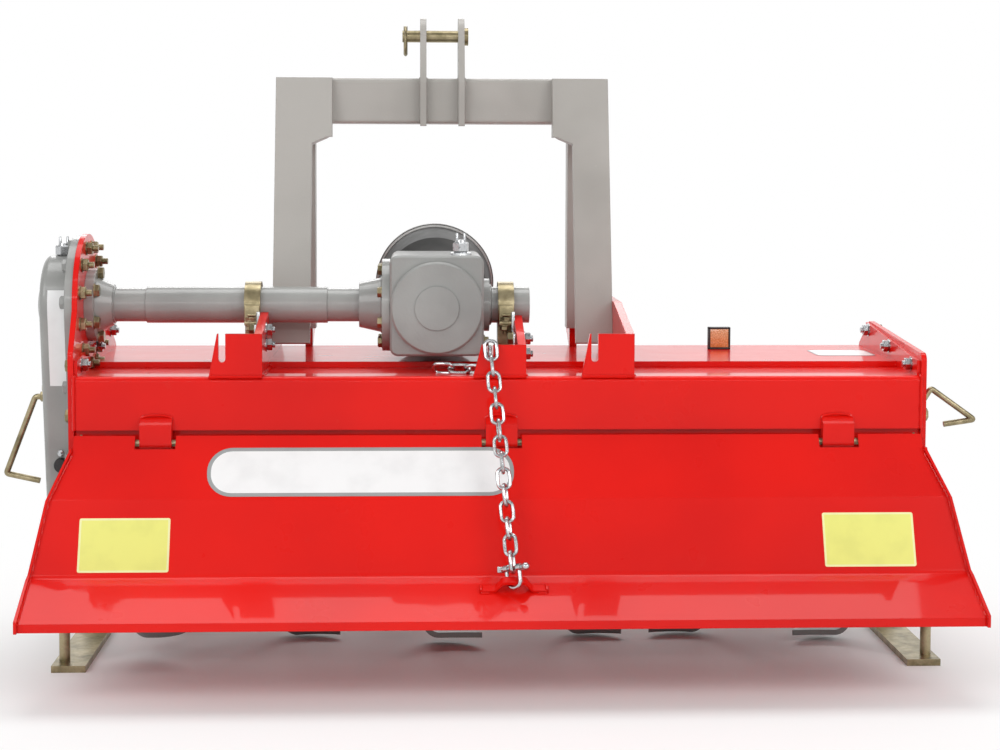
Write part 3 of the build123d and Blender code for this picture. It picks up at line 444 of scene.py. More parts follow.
mast_finish = mast_paint()
coat(mast_finish, MAST_NODES)

# Castings: gearbox, cross tubes, side case and bearing housing are iron with the grain of the
# sand mould, under a cooler semi-gloss grey.
CAST_NODES = (
    "gearbox_housing",
    "gearbox_rear_cover",
    "axle_tube_left",
    "axle_tube_right",
    "gear_case",
    "gear_case_flange",
    "rotor_hub",
)
CAST_GREY = (0.325, 0.328, 0.315, 1)
CAST_GREY_DEEP = (0.25, 0.252, 0.242, 1)
CAST_RUST = (0.16, 0.075, 0.04, 1)


def casting_paint():
    material, tree, shader = new_finish("casting_grey_paint")
    drift = noise(tree, 9.0).ramp(0.3, 0.7)
    pits = noise(tree, 130.0, 8.0, 0.8).ramp(0.66, 0.72) * 0.6
    base = pits.mix(drift.mix(CAST_GREY, CAST_GREY_DEEP), CAST_RUST)
    feed(tree, shader, base=base, rough=noise(tree, 40.0, 5.0) * 0.20 + 0.24)
    feed(tree, shader, coat=0.5, coat_rough=0.10)
    sand = noise(tree, 210.0, 6.0, 0.65) + noise(tree, 45.0) * 2.0
    bumped(tree, shader, sand, 0.30, 0.0010, 0.002)
    return material


cast_finish = casting_paint()
coat(cast_finish, CAST_NODES)

# Plated hardware: clamps, pins, handles and skids are mild steel in yellow passivated zinc, which
# runs from straw to green and pink.
ZINC_NODES = (
    "top_link_pin",
    "top_link_clip",
    "tube_clamp_left",
    "tube_clamp_right",
    "skid_left",
    "skid_right",
    "handle_left",
    "handle_right",
    "hinge_rod",
    "gear_case_fittings",
    "gearbox_filler",
)
STRAW = (0.27, 0.225, 0.13, 1)
OLIVE = (0.12, 0.112, 0.06, 1)
BRASSY = (0.42, 0.355, 0.22, 1)
ROSE = (0.28, 0.20, 0.14, 1)


def yellow_zinc():
    material, tree, shader = new_finish("yellow_zinc_plate")
    stops = [(0.25, OLIVE), (0.45, STRAW), (0.62, BRASSY), (0.8, ROSE)]
    film = noise(tree, 38.0, 5.0, 0.6)
    base = tree.node("ShaderNodeValToRGB", {"stops": stops}, {"Fac": film})
    feed(tree, shader, base=base, rough=noise(tree, 120.0, 5.0) * 0.22 + 0.22, metal=0.9)
    bumped(tree, shader, noise(tree, 260.0, 5.0), 0.18, 0.0004, 0.0008)
    return material


zinc_finish = yellow_zinc()
coat(zinc_finish, ZINC_NODES)

# Chain: round steel wire links in bright zinc, drawn and welded, which darken where they rub.
BRIGHT = (0.52, 0.53, 0.54, 1)
BRIGHT_DULL = (0.14, 0.144, 0.15, 1)


def bright_zinc():
    material, tree, shader = new_finish("bright_zinc_plate")
    rubbed = noise(tree, 150.0, 6.0, 0.7).ramp(0.5, 0.68) * 0.6
    feed(tree, shader, base=rubbed.mix(BRIGHT, BRIGHT_DULL))
    feed(tree, shader, rough=noise(tree, 200.0, 4.0) * 0.2 + 0.14, metal=1.0)
    bumped(tree, shader, noise(tree, 500.0, 4.0), 0.15, 0.0003, 0.0005)
    return material


bright_finish = bright_zinc()
coat(bright_finish, ("chain", "chain_tail"))

# Input shaft: splined steel, turned and oiled, with the marks of the lathe round it.
SHAFT_STEEL = (0.50, 0.49, 0.47, 1)
SHAFT_OILED = (0.30, 0.27, 0.22, 1)


def machined_steel():
    material, tree, shader = new_finish("machined_steel")
    oiled = noise(tree, 50.0, 5.0).ramp(0.45, 0.7)
    base = oiled.mix(SHAFT_STEEL, SHAFT_OILED)
    feed(tree, shader, base=base, rough=oiled * 0.15 + 0.22, metal=1.0)
    lathe = {"Vector": object_place(tree), "Scale": 260.0}
    rings = tree.node("ShaderNodeTexWave", {"bands_direction": "Y"}, lathe)
    bumped(tree, shader, rings, 0.12, 0.0002, 0.0008)
    return material


coat(machined_steel(), ("pto_shaft",))

# Rotor: forged blades and their flanges in thin dark paint, worn to bare steel out at the
# cutting tips.
ROTOR_NODES = ("rotor_tube", *[f"tine_set_{number}" for number in range(1, 7)])
TINE_DARK = (0.045, 0.045, 0.048, 1)
TINE_SCALE = (0.10, 0.095, 0.09, 1)
TINE_BARE = (0.15, 0.145, 0.14, 1)
ROTOR_AXIS_Y = (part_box("rotor_tube")[0].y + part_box("rotor_tube")[1].y) / 2
ROTOR_AXIS_Z = (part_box("rotor_tube")[0].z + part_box("rotor_tube")[1].z) / 2


def tine_paint():
    material, tree, shader = new_finish("tine_paint")
    place = object_place(tree)
    centred = tree.node(
        "ShaderNodeVectorMath",
        {"operation": "SUBTRACT"},
        {0: place, 1: (0, ROTOR_AXIS_Y, ROTOR_AXIS_Z)},
    )
    flat = tree.node("ShaderNodeVectorMath", {"operation": "MULTIPLY"}, {0: centred, 1: (0, 1, 1)})
    out = tree.node("ShaderNodeVectorMath", {"operation": "LENGTH"}, {0: flat}, 1)
    worn = (out + noise(tree, 22.0, 6.0, 0.7) * 0.05).ramp(0.198, 0.225)
    scale = noise(tree, 70.0, 7.0, 0.7).ramp(0.4, 0.65)
    feed(tree, shader, base=worn.mix(scale.mix(TINE_DARK, TINE_SCALE), TINE_BARE))
    feed(tree, shader, rough=0.5 - worn * 0.18 + noise(tree, 90.0) * 0.1, metal=worn * 0.5 + 0.1)
    bumped(tree, shader, noise(tree, 160.0, 7.0, 0.7), 0.35, 0.0009, 0.001)
    return material


tine_finish = tine_paint()
coat(tine_finish, ROTOR_NODES)

# Shaft shield: a moulded plastic bell in painted shade, a much darker copy of its rim's grey, smooth
# outside with fine mould grain.
SHIELD_SHADED_GREY = (0.045, 0.045, 0.044, 1)
SHIELD_SHADED_GREY_PALE = (0.075, 0.074, 0.072, 1)


def shield_plastic():
    material, tree, shader = new_finish("shield_plastic")
    drift = noise(tree, 14.0).ramp(0.35, 0.7)
    # Both greys are painted shade: the bell's grey darkened as if it lay in shadow.
    base = drift.mix(SHIELD_SHADED_GREY, SHIELD_SHADED_GREY_PALE)
    feed(tree, shader, base=base, rough=noise(tree, 60.0) * 0.15 + 0.45, shine=0.2)
    bumped(tree, shader, noise(tree, 600.0, 3.0), 0.12, 0.0003, 0.001)
    return material


coat(shield_plastic(), ("pto_shield",))

# Reflector: a ribbed amber lens in a dark frame, standing on the deck.
AMBER = (0.58, 0.23, 0.06, 1)
AMBER_PALE = (0.76, 0.38, 0.14, 1)


def amber_lens():
    material, tree, shader = new_finish("amber_lens")
    cells = {"Vector": object_place(tree), "Scale": 420.0}
    prism = tree.node("ShaderNodeTexVoronoi", {"feature": "F1"}, cells)
    feed(tree, shader, base=prism.ramp(0.2, 0.7).mix(AMBER_PALE, AMBER), rough=0.12, coat=1.0)
    bumped(tree, shader, prism, 0.3, 0.0006, 0.001)
    return material


lens_finish = amber_lens()
coat(lens_finish, ("reflector",))

# Welds of the mast and the cross tube: fine grey beads round the top link ears and where the tubes
# meet their flanges.
EAR_SIDES = (-0.1175, -0.1075, -0.0565, -0.0465)
SHAFT_Y = 0.150
SHAFT_Z = 0.528


def round_axis(x, y, z, radius, count, first=0.0):
    """Places spread evenly round an axis that runs across the machine."""
    turns = [radians(first + 360 / count * step) for step in range(count)]
    return [at(x, y + radius * cos(turn), z + radius * sin(turn)) for turn in turns]


def shaft_weld(mesh, x, ring, bead):
    """Adds a bead right round the cross shaft."""
    places = round_axis(x, SHAFT_Y, SHAFT_Z, ring, 40)
    weld(mesh, [*places, places[0]], bead)


def mast_welds():
    mesh = bmesh.new()
    beam_low, beam_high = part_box("mast_beam")
    rear = beam_low.y - REAR_FACE
    for x in EAR_SIDES:
        foot, edge = at(x, rear, beam_low.z + 0.004), at(x, rear, beam_high.z)
        weld(mesh, [foot, edge, at(x, rear + 0.05, beam_high.z)], 0.002)
    return piece("mast_welds", mesh, [mast_finish], "mast_paint", "frame")


def drive_welds():
    mesh = bmesh.new()
    left_low, left_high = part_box("axle_tube_left")
    shaft_weld(mesh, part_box("axle_tube_right")[0].x + 0.0108, 0.0285, 0.003)
    shaft_weld(mesh, left_high.x - 0.0125, 0.0420, 0.002)
    shaft_weld(mesh, left_low.x + 0.0385, 0.0262, 0.002)
    return piece("drive_welds", mesh, [cast_finish], "casting_paint", "frame")


mast_welds()
drive_welds()

# Bolts of the side drive and side plates: M10 screws with washers and nuts, round the tube's flange,
# the case and the rotor's bearing, and along the deck's flanges. They are yellow zinc, but for the
# nuts inside the deck's flanges, which are bright, and the case's screws, painted over like the case.
M10 = 0.010
ROTOR_Y = 0.200
ROTOR_Z = 0.215
PLATE_RING = 0.089
TUBE_RING = 0.048
CASE_HEAD_RING = 0.0905
CASE_FOOT_RING = 0.0935
HUB_RING = 0.059
DECK_FLANGE = 0.005
FLANGE_BOLTS = ((0.045, 0.4475), (0.179, 0.462), (0.315, 0.476))
LOW_BOLT = (0.028, 0.374)


def spin_round(made, axis, steps):
    """Spins an outline right round an axis through the origin."""
    outline = made.verts[:] + made.edges[:]
    bmesh.ops.spin(
        made, geom=outline, cent=(0, 0, 0), axis=axis, angle=2 * pi, steps=steps, use_merge=True
    )


def turned(mesh, place, way, stations, sides=20, turn=0.0):
    """Adds a closed turned form: pairs of distance along a way and radius, spun round it."""
    made = bmesh.new()
    outline = [(0, stations[0][0]), *[(radius, far) for far, radius in stations], (0, stations[-1][0])]
    verts = [made.verts.new((radius, 0, far)) for radius, far in outline]
    for first, second in zip(verts, verts[1:]):
        made.edges.new((first, second))
    spin_round(made, (0, 0, 1), sides)
    bmesh.ops.remove_doubles(made, verts=made.verts[:], dist=1e-6)
    facing = Vector(way).to_track_quat("Z", "Y").to_matrix().to_4x4()
    pose = Matrix.Translation(place) @ facing @ Matrix.Rotation(turn, 4, "Z")
    bmesh.ops.transform(made, matrix=pose, verts=made.verts[:])
    join(mesh, made)


def bolt_head(mesh, place, way, size=M10, turn=0.4):
    """Adds a washer and a hexagon head, its corners turned down."""
    turned(mesh, place, way, [(0, 1.05 * size), (0.15 * size, 1.05 * size)])
    stations = [(0.15 * size, 0.98 * size), (0.68 * size, 0.98 * size), (0.8 * size, 0.86 * size)]
    turned(mesh, place, way, stations, 6, turn)


def nut(mesh, place, way, size=M10, turn=0.2, out=0.5):
    """Adds a washer, a nut and the threaded end that stands out of it."""
    turned(mesh, place, way, [(0, 1.05 * size), (0.15 * size, 1.05 * size)])
    corner = 0.98 * size
    stations = [(0.15 * size, 0.88 * corner), (0.25 * size, corner), (0.88 * size, corner)]
    turned(mesh, place, way, [*stations, (0.98 * size, 0.88 * corner)], 6, turn)
    thread = [(0.9 * size, 0.5 * size)]
    pitch = 0.15 * size
    for step in range(round(out * size / pitch)):
        far = 0.98 * size + step * pitch
        thread += [(far, 0.5 * size), (far + pitch / 2, 0.43 * size)]
    turned(mesh, place, way, thread, 12)


LEFT, RIGHT = (-1, 0, 0), (1, 0, 0)


def drive_bolts():
    """The rings round the cross shaft: nuts on the plate, and screw heads on the tube's flange."""
    mesh = bmesh.new()
    flange_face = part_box("axle_tube_left")[0].x + 0.014
    for number, place in enumerate(round_axis(-INNER, SHAFT_Y, SHAFT_Z, PLATE_RING, 12, 15)):
        nut(mesh, place, RIGHT, turn=number, out=0.9)
    for number, place in enumerate(round_axis(flange_face, SHAFT_Y, SHAFT_Z, TUBE_RING, 6, 30)):
        bolt_head(mesh, place, RIGHT, turn=number)
    return piece("drive_bolts", mesh, [zinc_finish], "yellow_zinc", "frame")


def case_bolts():
    """Screws all round the flange of the gear case, outside its cast wall."""
    mesh = bmesh.new()
    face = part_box("gear_case_flange")[0].x
    head, foot = at(face, SHAFT_Y, SHAFT_Z), at(face, ROTOR_Y, ROTOR_Z)
    up = (head - foot).normalized()
    side = up.cross(Vector(RIGHT))
    for middle, ring, first in ((head, CASE_HEAD_RING, 0), (foot, CASE_FOOT_RING, 180)):
        for turn in [radians(first + step) for step in (-75, -38, 0, 38, 75)]:
            bolt_head(mesh, middle + (up * cos(turn) + side * sin(turn)) * ring, LEFT, turn=turn)
    for way in (-1, 1):
        top, bottom = head + side * (way * CASE_HEAD_RING), foot + side * (way * CASE_FOOT_RING)
        for share in (0.33, 0.67):
            bolt_head(mesh, top.lerp(bottom, share), LEFT, turn=share)
    return piece("case_bolts", mesh, [cast_finish], "casting_paint", "frame")


def plate_bolts():
    """Screws that hold the side plates to the deck's flanges, with their nuts inside."""
    heads, nuts = bmesh.new(), bmesh.new()
    for side, out, inwards in ((-1, LEFT, RIGHT), (1, RIGHT, LEFT)):
        for number, (y, z) in enumerate(FLANGE_BOLTS):
            nut(nuts, at(side * (INNER - DECK_FLANGE), y, z), inwards, turn=number, out=0.45)
            if side > 0 or y < 0.05:
                bolt_head(heads, at(side * HALF, y - (0.012 if side < 0 else 0), z), out, turn=number)
        bolt_head(heads, at(side * HALF, *LOW_BOLT), out)
    piece("plate_bolts", heads, [zinc_finish], "yellow_zinc", "frame")
    piece("plate_nuts", nuts, [bright_finish], "bright_zinc", "frame")


def hub_bolts():
    """Screws round the rotor's bearing housing, and the cap on its end."""
    mesh = bmesh.new()
    for number, place in enumerate(round_axis(HALF + 0.010, ROTOR_Y, ROTOR_Z, HUB_RING, 6)):
        bolt_head(mesh, place, RIGHT, turn=number)
    cap = [(-0.004, 0.030), (0.003, 0.030), (0.005, 0.027)]
    turned(mesh, at(HALF + 0.040, ROTOR_Y, ROTOR_Z), RIGHT, cap, 40)
    return piece("hub_bolts", mesh, [zinc_finish], "yellow_zinc", "frame")


drive_bolts()
case_bolts()
plate_bolts()
hub_bolts()

# Tube clamps' fittings: a bolt that closes each band from below, and a bent bracket that ties the
# band to the saddle plate beside it with two screws. Bracket and nuts are bright zinc.
CLAMP_BOLT = 0.008
UP, DOWN = (0, 0, 1), (0, 0, -1)


def slab(mesh, low, high, edge=0.0008):
    """Adds a small block between two corners, its edges eased."""
    made = bmesh.new()
    bmesh.ops.create_cube(made, size=1.0)
    bmesh.ops.scale(made, vec=high - low, verts=made.verts[:])
    bmesh.ops.translate(made, vec=(high + low) / 2, verts=made.verts[:])
    bmesh.ops.bevel(
        made, geom=made.edges[:], offset=edge, segments=2, profile=0.5, affect="EDGES", material=-1
    )
    join(mesh, made)


def clamp_fittings():
    bright, yellow = bmesh.new(), bmesh.new()
    for clamp, nut_y, nut_zs in (
        ("tube_clamp_left", 0.072, (0.4965, 0.4745)),
        ("tube_clamp_right", 0.066, (0.4835, 0.4610)),
    ):
        low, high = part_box(clamp)
        middle = (low.x + high.x) / 2 - 0.002
        slab(yellow, at(low.x + 0.001, 0.106, 0.5000), at(high.x - 0.001, 0.122, 0.5060))
        slab(yellow, at(low.x + 0.001, 0.1085, 0.5060), at(high.x - 0.001, 0.1135, 0.5300))
        slab(yellow, at(low.x + 0.005, 0.1045, 0.5130), at(high.x - 0.005, 0.1095, 0.5175), 0.0018)
        bolt_head(yellow, at(middle, 0.111, 0.506), UP, CLAMP_BOLT)
        nut(yellow, at(middle, 0.111, 0.500), DOWN, CLAMP_BOLT, out=0.7)
        face = high.x
        foot = at(face - 0.0045, nut_y - 0.012, nut_zs[1] - 0.011)
        slab(bright, foot, at(face - 0.0005, 0.116, nut_zs[0] + 0.008))
        slab(bright, at(face - 0.0045, 0.104, nut_zs[0] - 0.004), at(face + 0.0005, 0.1165, 0.5205))
        for number, z in enumerate(nut_zs):
            nut(bright, at(face + 0.012, nut_y, z), RIGHT, turn=number, out=0.45)
            bolt_head(yellow, at(face - 0.0045, nut_y, z), LEFT, turn=number)
    piece("clamp_brackets", bright, [bright_finish], "bright_zinc", "frame")
    piece("clamp_bolts", yellow, [zinc_finish], "yellow_zinc", "frame")


clamp_fittings()

# Gearbox screws: a ring of zinc screws holds the long tube's flange to the housing, and the level
# plug sits low on the right wall.
FLANGE_RING = 0.059
FLANGE_SCREW = 0.0085


def gearbox_bolts():
    mesh = bmesh.new()
    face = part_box("axle_tube_left")[1].x - 0.012
    for number, place in enumerate(round_axis(face, SHAFT_Y, SHAFT_Z, FLANGE_RING, 8, 22.5)):
        bolt_head(mesh, place, LEFT, FLANGE_SCREW, turn=number)
    plug = [(0, 0.011), (0.003, 0.011), (0.003, 0.008), (0.009, 0.0075)]
    turned(mesh, at(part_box("gearbox_housing")[1].x, 0.130, 0.474), RIGHT, plug, 6)
    return piece("gearbox_bolts", mesh, [zinc_finish], "yellow_zinc", "frame")


gearbox_bolts()

# Shield's rim: the rolled lip round the bell's mouth, two rolls of a paler grey, which is painted
# highlight: a lit copy of the bell's grey, standing for its lit edge.
RIM_HIGHLIGHT_GREY = (0.50, 0.495, 0.48, 1)
RIM_HIGHLIGHT_GREY_DEEP = (0.38, 0.375, 0.365, 1)
RIM_R = 0.0972
INPUT_RISE = radians(4.4)


def rim_painted_highlight():
    material, tree, shader = new_finish("rim_painted_highlight")
    # The pale grey is painted highlight of the rim's lit edge, not a colour of its own.
    feed(tree, shader, base=noise(tree, 30.0, 4.0).ramp(0.35, 0.7).mix(RIM_HIGHLIGHT_GREY, RIM_HIGHLIGHT_GREY_DEEP))
    feed(tree, shader, rough=noise(tree, 80.0) * 0.15 + 0.3)
    bumped(tree, shader, noise(tree, 500.0, 3.0), 0.12, 0.0003, 0.001)
    return material


def wire_ring(mesh, middle, across, up, radius, wire, steps, roundness):
    """Adds a closed ring of round wire."""
    turns = [2 * pi * step / steps for step in range(steps)]
    places = [middle + (across * cos(turn) + up * sin(turn)) * radius for turn in turns]
    data, line = tube_curve("NURBS", places, wire, roundness)
    line.use_cyclic_u = True
    line.order_u = 3
    data.resolution_u = 4
    add_curve(mesh, data)


def shield_rim():
    """Two rolls side by side round the bell's mouth, turned on the input shaft's line."""
    mesh = bmesh.new()
    low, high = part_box("gearbox_housing")
    middle = at((low.x + high.x) / 2, SHAFT_Y, SHAFT_Z)
    ahead = Vector((0, cos(INPUT_RISE), sin(INPUT_RISE)))
    up = Vector((0, -sin(INPUT_RISE), cos(INPUT_RISE)))
    for far, radius, wire in ((0.252, RIM_R - 0.0032, 0.0018), (0.257, RIM_R - 0.0012, 0.0022)):
        wire_ring(mesh, middle + ahead * far, Vector(RIGHT), up, radius, wire, 24, 2)
    return piece("shield_rim", mesh, [rim_painted_highlight()], "shield_plastic", "frame")


shield_rim()

# Breathers, plug and caps: a hexagon body with two bleed prongs stands on the gearbox and on the gear
# case. The case also has a grease nipple and a black plug low on its rear wall, and two flat caps on
# its left face: a zinc one over the idler and a cast one over the cross shaft's bearing.
BREATHER_X = -0.6545
CASE_TOP = 0.603
IDLER_Y = 0.175
IDLER_Z = 0.399
PLUG_BLACK = (0.012, 0.012, 0.013, 1)
PLUG_WORN = (0.03, 0.03, 0.03, 1)


def plug_rubber():
    material, tree, shader = new_finish("plug_black")
    grain = noise(tree, 300.0, 4.0)
    feed(tree, shader, base=grain.ramp(0.3, 0.8).mix(PLUG_BLACK, PLUG_WORN), rough=grain * 0.2 + 0.35)
    bumped(tree, shader, grain, 0.15, 0.0004, 0.001)
    return material


plug_finish = plug_rubber()


def breather(mesh, foot):
    """Adds a vented plug: a hexagon body, a low neck and two prongs with a gap between them."""
    body = [(-0.002, 0.0085), (0.0, 0.0085), (0.001, 0.0125), (0.013, 0.0125), (0.0145, 0.011)]
    turned(mesh, foot, UP, body, 6, 0.3)
    turned(mesh, foot, UP, [(0.0145, 0.0085), (0.018, 0.0075)], 24)
    for side in (-1, 1):
        prong = foot + Vector((side * 0.0055, 0, 0.016))
        turned(mesh, prong, UP, [(0, 0.0022), (0.011, 0.0019), (0.0125, 0.0012)], 12)


def gearbox_breather():
    mesh = bmesh.new()
    low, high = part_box("gearbox_filler")
    foot = Vector(((low.x + high.x) / 2, (low.y + high.y) / 2, low.z))
    turned(mesh, foot, UP, [(-0.001, 0.0165), (0.003, 0.0160), (0.0045, 0.0130)], 32)
    breather(mesh, foot + Vector((0, 0, 0.0045)))
    return piece("gearbox_breather", mesh, [bright_finish], "bright_zinc", "frame", "gearbox_filler")


def case_fittings():
    """The gear case's breather and the nipple low on its rear wall, and the plug under the nipple."""
    mesh, dark = bmesh.new(), bmesh.new()
    breather(mesh, at(BREATHER_X, SHAFT_Y, CASE_TOP))
    back = (0, -1, -0.14)
    nipple = [(-0.003, 0.005), (0.003, 0.005), (0.004, 0.0022), (0.008, 0.0022), (0.0105, 0.0032)]
    turned(mesh, at(BREATHER_X, 0.1065, 0.309), back, nipple, 6)
    wall = at(BREATHER_X + 0.001, 0.1090, 0.2905)
    turned(dark, wall, back, [(-0.003, 0.0115), (0.006, 0.0115), (0.010, 0.010), (0.011, 0.0055)], 24)
    piece("case_breather", mesh, [bright_finish], "bright_zinc", "frame", "gear_case_fittings")
    piece("case_plug", dark, [plug_finish], "shield_plastic", "frame")


def case_caps():
    disc, cap = bmesh.new(), bmesh.new()
    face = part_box("gear_case")[0].x
    cast = [(-0.004, 0.0285), (-0.001, 0.0280), (0.0015, 0.0240), (0.0025, 0.012)]
    turned(cap, at(face, SHAFT_Y, SHAFT_Z), LEFT, cast, 48)
    plated = [(-0.002, 0.0175), (0.002, 0.0175), (0.0035, 0.0155), (0.0035, 0.006), (0.006, 0.0055)]
    turned(disc, at(face, IDLER_Y, IDLER_Z), LEFT, plated, 32)
    piece("idler_cap", disc, [zinc_finish], "yellow_zinc", "frame")
    piece("bearing_cap", cap, [cast_finish], "casting_paint", "frame")


gearbox_breather()
case_fittings()
case_caps()

# Gap strip: a strip of sheet inside the rear beam's lower edge, in the hood's red, which closes the
# gap over the flap and backs the windows of its lugs.
STRIP_Y = 0.0090
STRIP_THICK = 0.0015
STRIP_TOP = 0.3605
STRIP_BOTTOM = 0.3220


def gap_strip():
    mesh = bmesh.new()
    high = at(INNER, STRIP_Y + STRIP_THICK, STRIP_TOP)
    slab(mesh, at(-INNER, STRIP_Y, STRIP_BOTTOM), high, 0.0004)
    return piece("gap_strip", mesh, [red_finish], "red_paint", "frame")


gap_strip()

# Chain: fourteen welded links of 5.5 mm wire from the slotted plate to the shackle, each turned a
# quarter from the last with a little slack, and the spare end that lies on the beam.
WIRE = 0.00275
LINK_HALF = 0.0088
LINK_PLAY = 0.0003
LINKS = 14
PITCH = 0.0242
TWIST = radians(7)
TWIST_STEP = 2.3
LAST_TWIST = radians(34)
CHAIN_TOP = at(-0.017, -0.0065, 0.4840)
CHAIN_FOOT = at(0.0107, -0.1352, 0.1776)


def chain_link(mesh, place, along, flat, pitch, twist=0.0):
    """Adds one welded link: a torus drawn out along its length."""
    made = bmesh.new()
    bmesh.ops.create_circle(made, segments=10, radius=WIRE)
    bmesh.ops.translate(made, vec=(LINK_HALF, 0, 0), verts=made.verts[:])
    spin_round(made, (0, 1, 0), 20)
    straight = pitch / 2 + LINK_PLAY + WIRE - LINK_HALF
    for vert in made.verts:
        if abs(vert.co.z) > 1e-4:
            vert.co.z += straight if vert.co.z > 0 else -straight
    along = along.normalized()
    across = flat.cross(along).normalized()
    out = along.cross(across)
    pose = Matrix((across, out, along)).transposed().to_4x4()
    pose = Matrix.Translation(place) @ pose @ Matrix.Rotation(twist, 4, "Z")
    bmesh.ops.transform(made, matrix=pose, verts=made.verts[:])
    join(mesh, made)


def drag_chain():
    mesh = bmesh.new()
    way = CHAIN_FOOT - CHAIN_TOP
    rearward = Vector(RIGHT).cross(way).normalized()
    for number in range(LINKS):
        flat = Vector(RIGHT) if number % 2 else rearward
        place = CHAIN_TOP + way * ((number + 0.5) / LINKS)
        turn = TWIST * sin(TWIST_STEP * number) + LAST_TWIST * (number / LINKS) ** 3
        chain_link(mesh, place, way, flat, way.length / LINKS, turn)
    made = piece("drag_chain", mesh, [bright_finish], "bright_zinc", None, "chain")
    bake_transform(made)
    return made


def chain_end():
    """The link held in the slot, one that drops behind the plate, and three that lie on the beam."""
    mesh = bmesh.new()
    key = at(-0.017, 0.004, 0.4678)
    chain_link(mesh, key, Vector((0, 1, 0)), Vector(RIGHT), PITCH)
    rest = at(-0.025, 0.033, 0.4408)
    drop = rest - at(-0.017, 0.0161, 0.4628)
    chain_link(mesh, rest - drop / 2, drop, drop.cross(Vector((0, 1, 1))), drop.length)
    along = Vector((-1, 0.25, 0)).normalized()
    for number in range(3):
        flat = Vector((0, -1, 1)) if number % 2 else Vector((0, 1, 1))
        chain_link(mesh, rest + along * (PITCH * (number + 0.5)), along, flat, PITCH, TWIST * number)
    return piece("chain_end", mesh, [bright_finish], "bright_zinc", "frame", "chain_tail")


drag_chain()
chain_end()

# Rear flap's fittings: the bowed strap that is welded across its tail, the bright shackle through
# it, and beads along the strap's feet and down the seams of the end plates.
FLAP_TOP = (-0.008, 0.350)
FLAP_FACETS = ((0.100, radians(33)), (0.110, radians(22)), (0.103, radians(65)))
FLAP_SIDES = (0.615, 0.641, 0.660)
ANCHOR_X = 0.012
ANCHOR_RUN = 0.034
ANCHOR_RISE = 0.014
ANCHOR_WIDE = 0.014
STRAP = 0.004
PIN_TURN = radians(36)
PIN_AT = at(0.0104, -0.1339, 0.1806)
BOW_AT = at(0.0129, -0.1453, 0.1552)
BOW_LEGS = 0.0105
BOW_WIRE = 0.003


def on_flap(facet, x, run, out=0.0):
    """A place on the flap's outer face: a run below a facet's upper edge, and out from it."""
    y, z = FLAP_TOP
    for length, lean in FLAP_FACETS[:facet]:
        y -= length * sin(lean)
        z -= length * cos(lean)
    lean = FLAP_FACETS[facet][1]
    return at(x, y - run * sin(lean) - out * cos(lean), z - run * cos(lean) + out * sin(lean))


def flap_pose(facet, x, run, out=0.0):
    """The frame of a label on the flap: across it, up it and out of it."""
    lean = FLAP_FACETS[facet][1]
    up = Vector((0, sin(lean), cos(lean)))
    away = Vector((0, -cos(lean), sin(lean)))
    turn = Matrix((Vector(RIGHT), up, away)).transposed().to_4x4()
    return Matrix.Translation(on_flap(facet, x, run, out)) @ turn


def draw_out(mesh, drawn, way):
    """Moves the corners that an extrusion has made."""
    moved = [item for item in drawn["geom"] if isinstance(item, bmesh.types.BMVert)]
    bmesh.ops.translate(mesh, vec=way, verts=moved)


def anchor_strap():
    """The strap on edge, as an outline across the machine, drawn out to its width."""
    mesh = bmesh.new()
    half, crown, foot = 0.048, 0.013, 0.028
    line = []
    for step in range(33):
        u = -half + 2 * half * step / 32
        share = min(1.0, max(0.0, (foot - abs(u)) / (foot - crown)))
        line.append((u, ANCHOR_RISE * share * share * (3 - 2 * share)))
    outline = [(u, -ANCHOR_WIDE / 2, v) for u, v in line]
    outline += [(u, -ANCHOR_WIDE / 2, v + STRAP) for u, v in reversed(line)]
    face = mesh.faces.new([mesh.verts.new(place) for place in outline])
    draw_out(mesh, bmesh.ops.extrude_face_region(mesh, geom=[face]), (0, ANCHOR_WIDE, 0))
    bmesh.ops.recalc_face_normals(mesh, faces=mesh.faces[:])
    bmesh.ops.transform(mesh, matrix=flap_pose(2, ANCHOR_X, ANCHOR_RUN), verts=mesh.verts[:])
    for side in (-1, 1):
        x = ANCHOR_X + side * 0.046
        end = [on_flap(2, x, ANCHOR_RUN + edge * 0.006, STRAP) for edge in (-1, 1)]
        weld(mesh, end, 0.0024)
        for edge in (-1, 1):
            run = ANCHOR_RUN + edge * (ANCHOR_WIDE / 2 + 0.0008)
            weld(mesh, [on_flap(2, x, run), on_flap(2, x - side * 0.012, run)], 0.0022)
    return piece("anchor_strap", mesh, [red_finish], "red_paint", "flap", "chain_anchor")


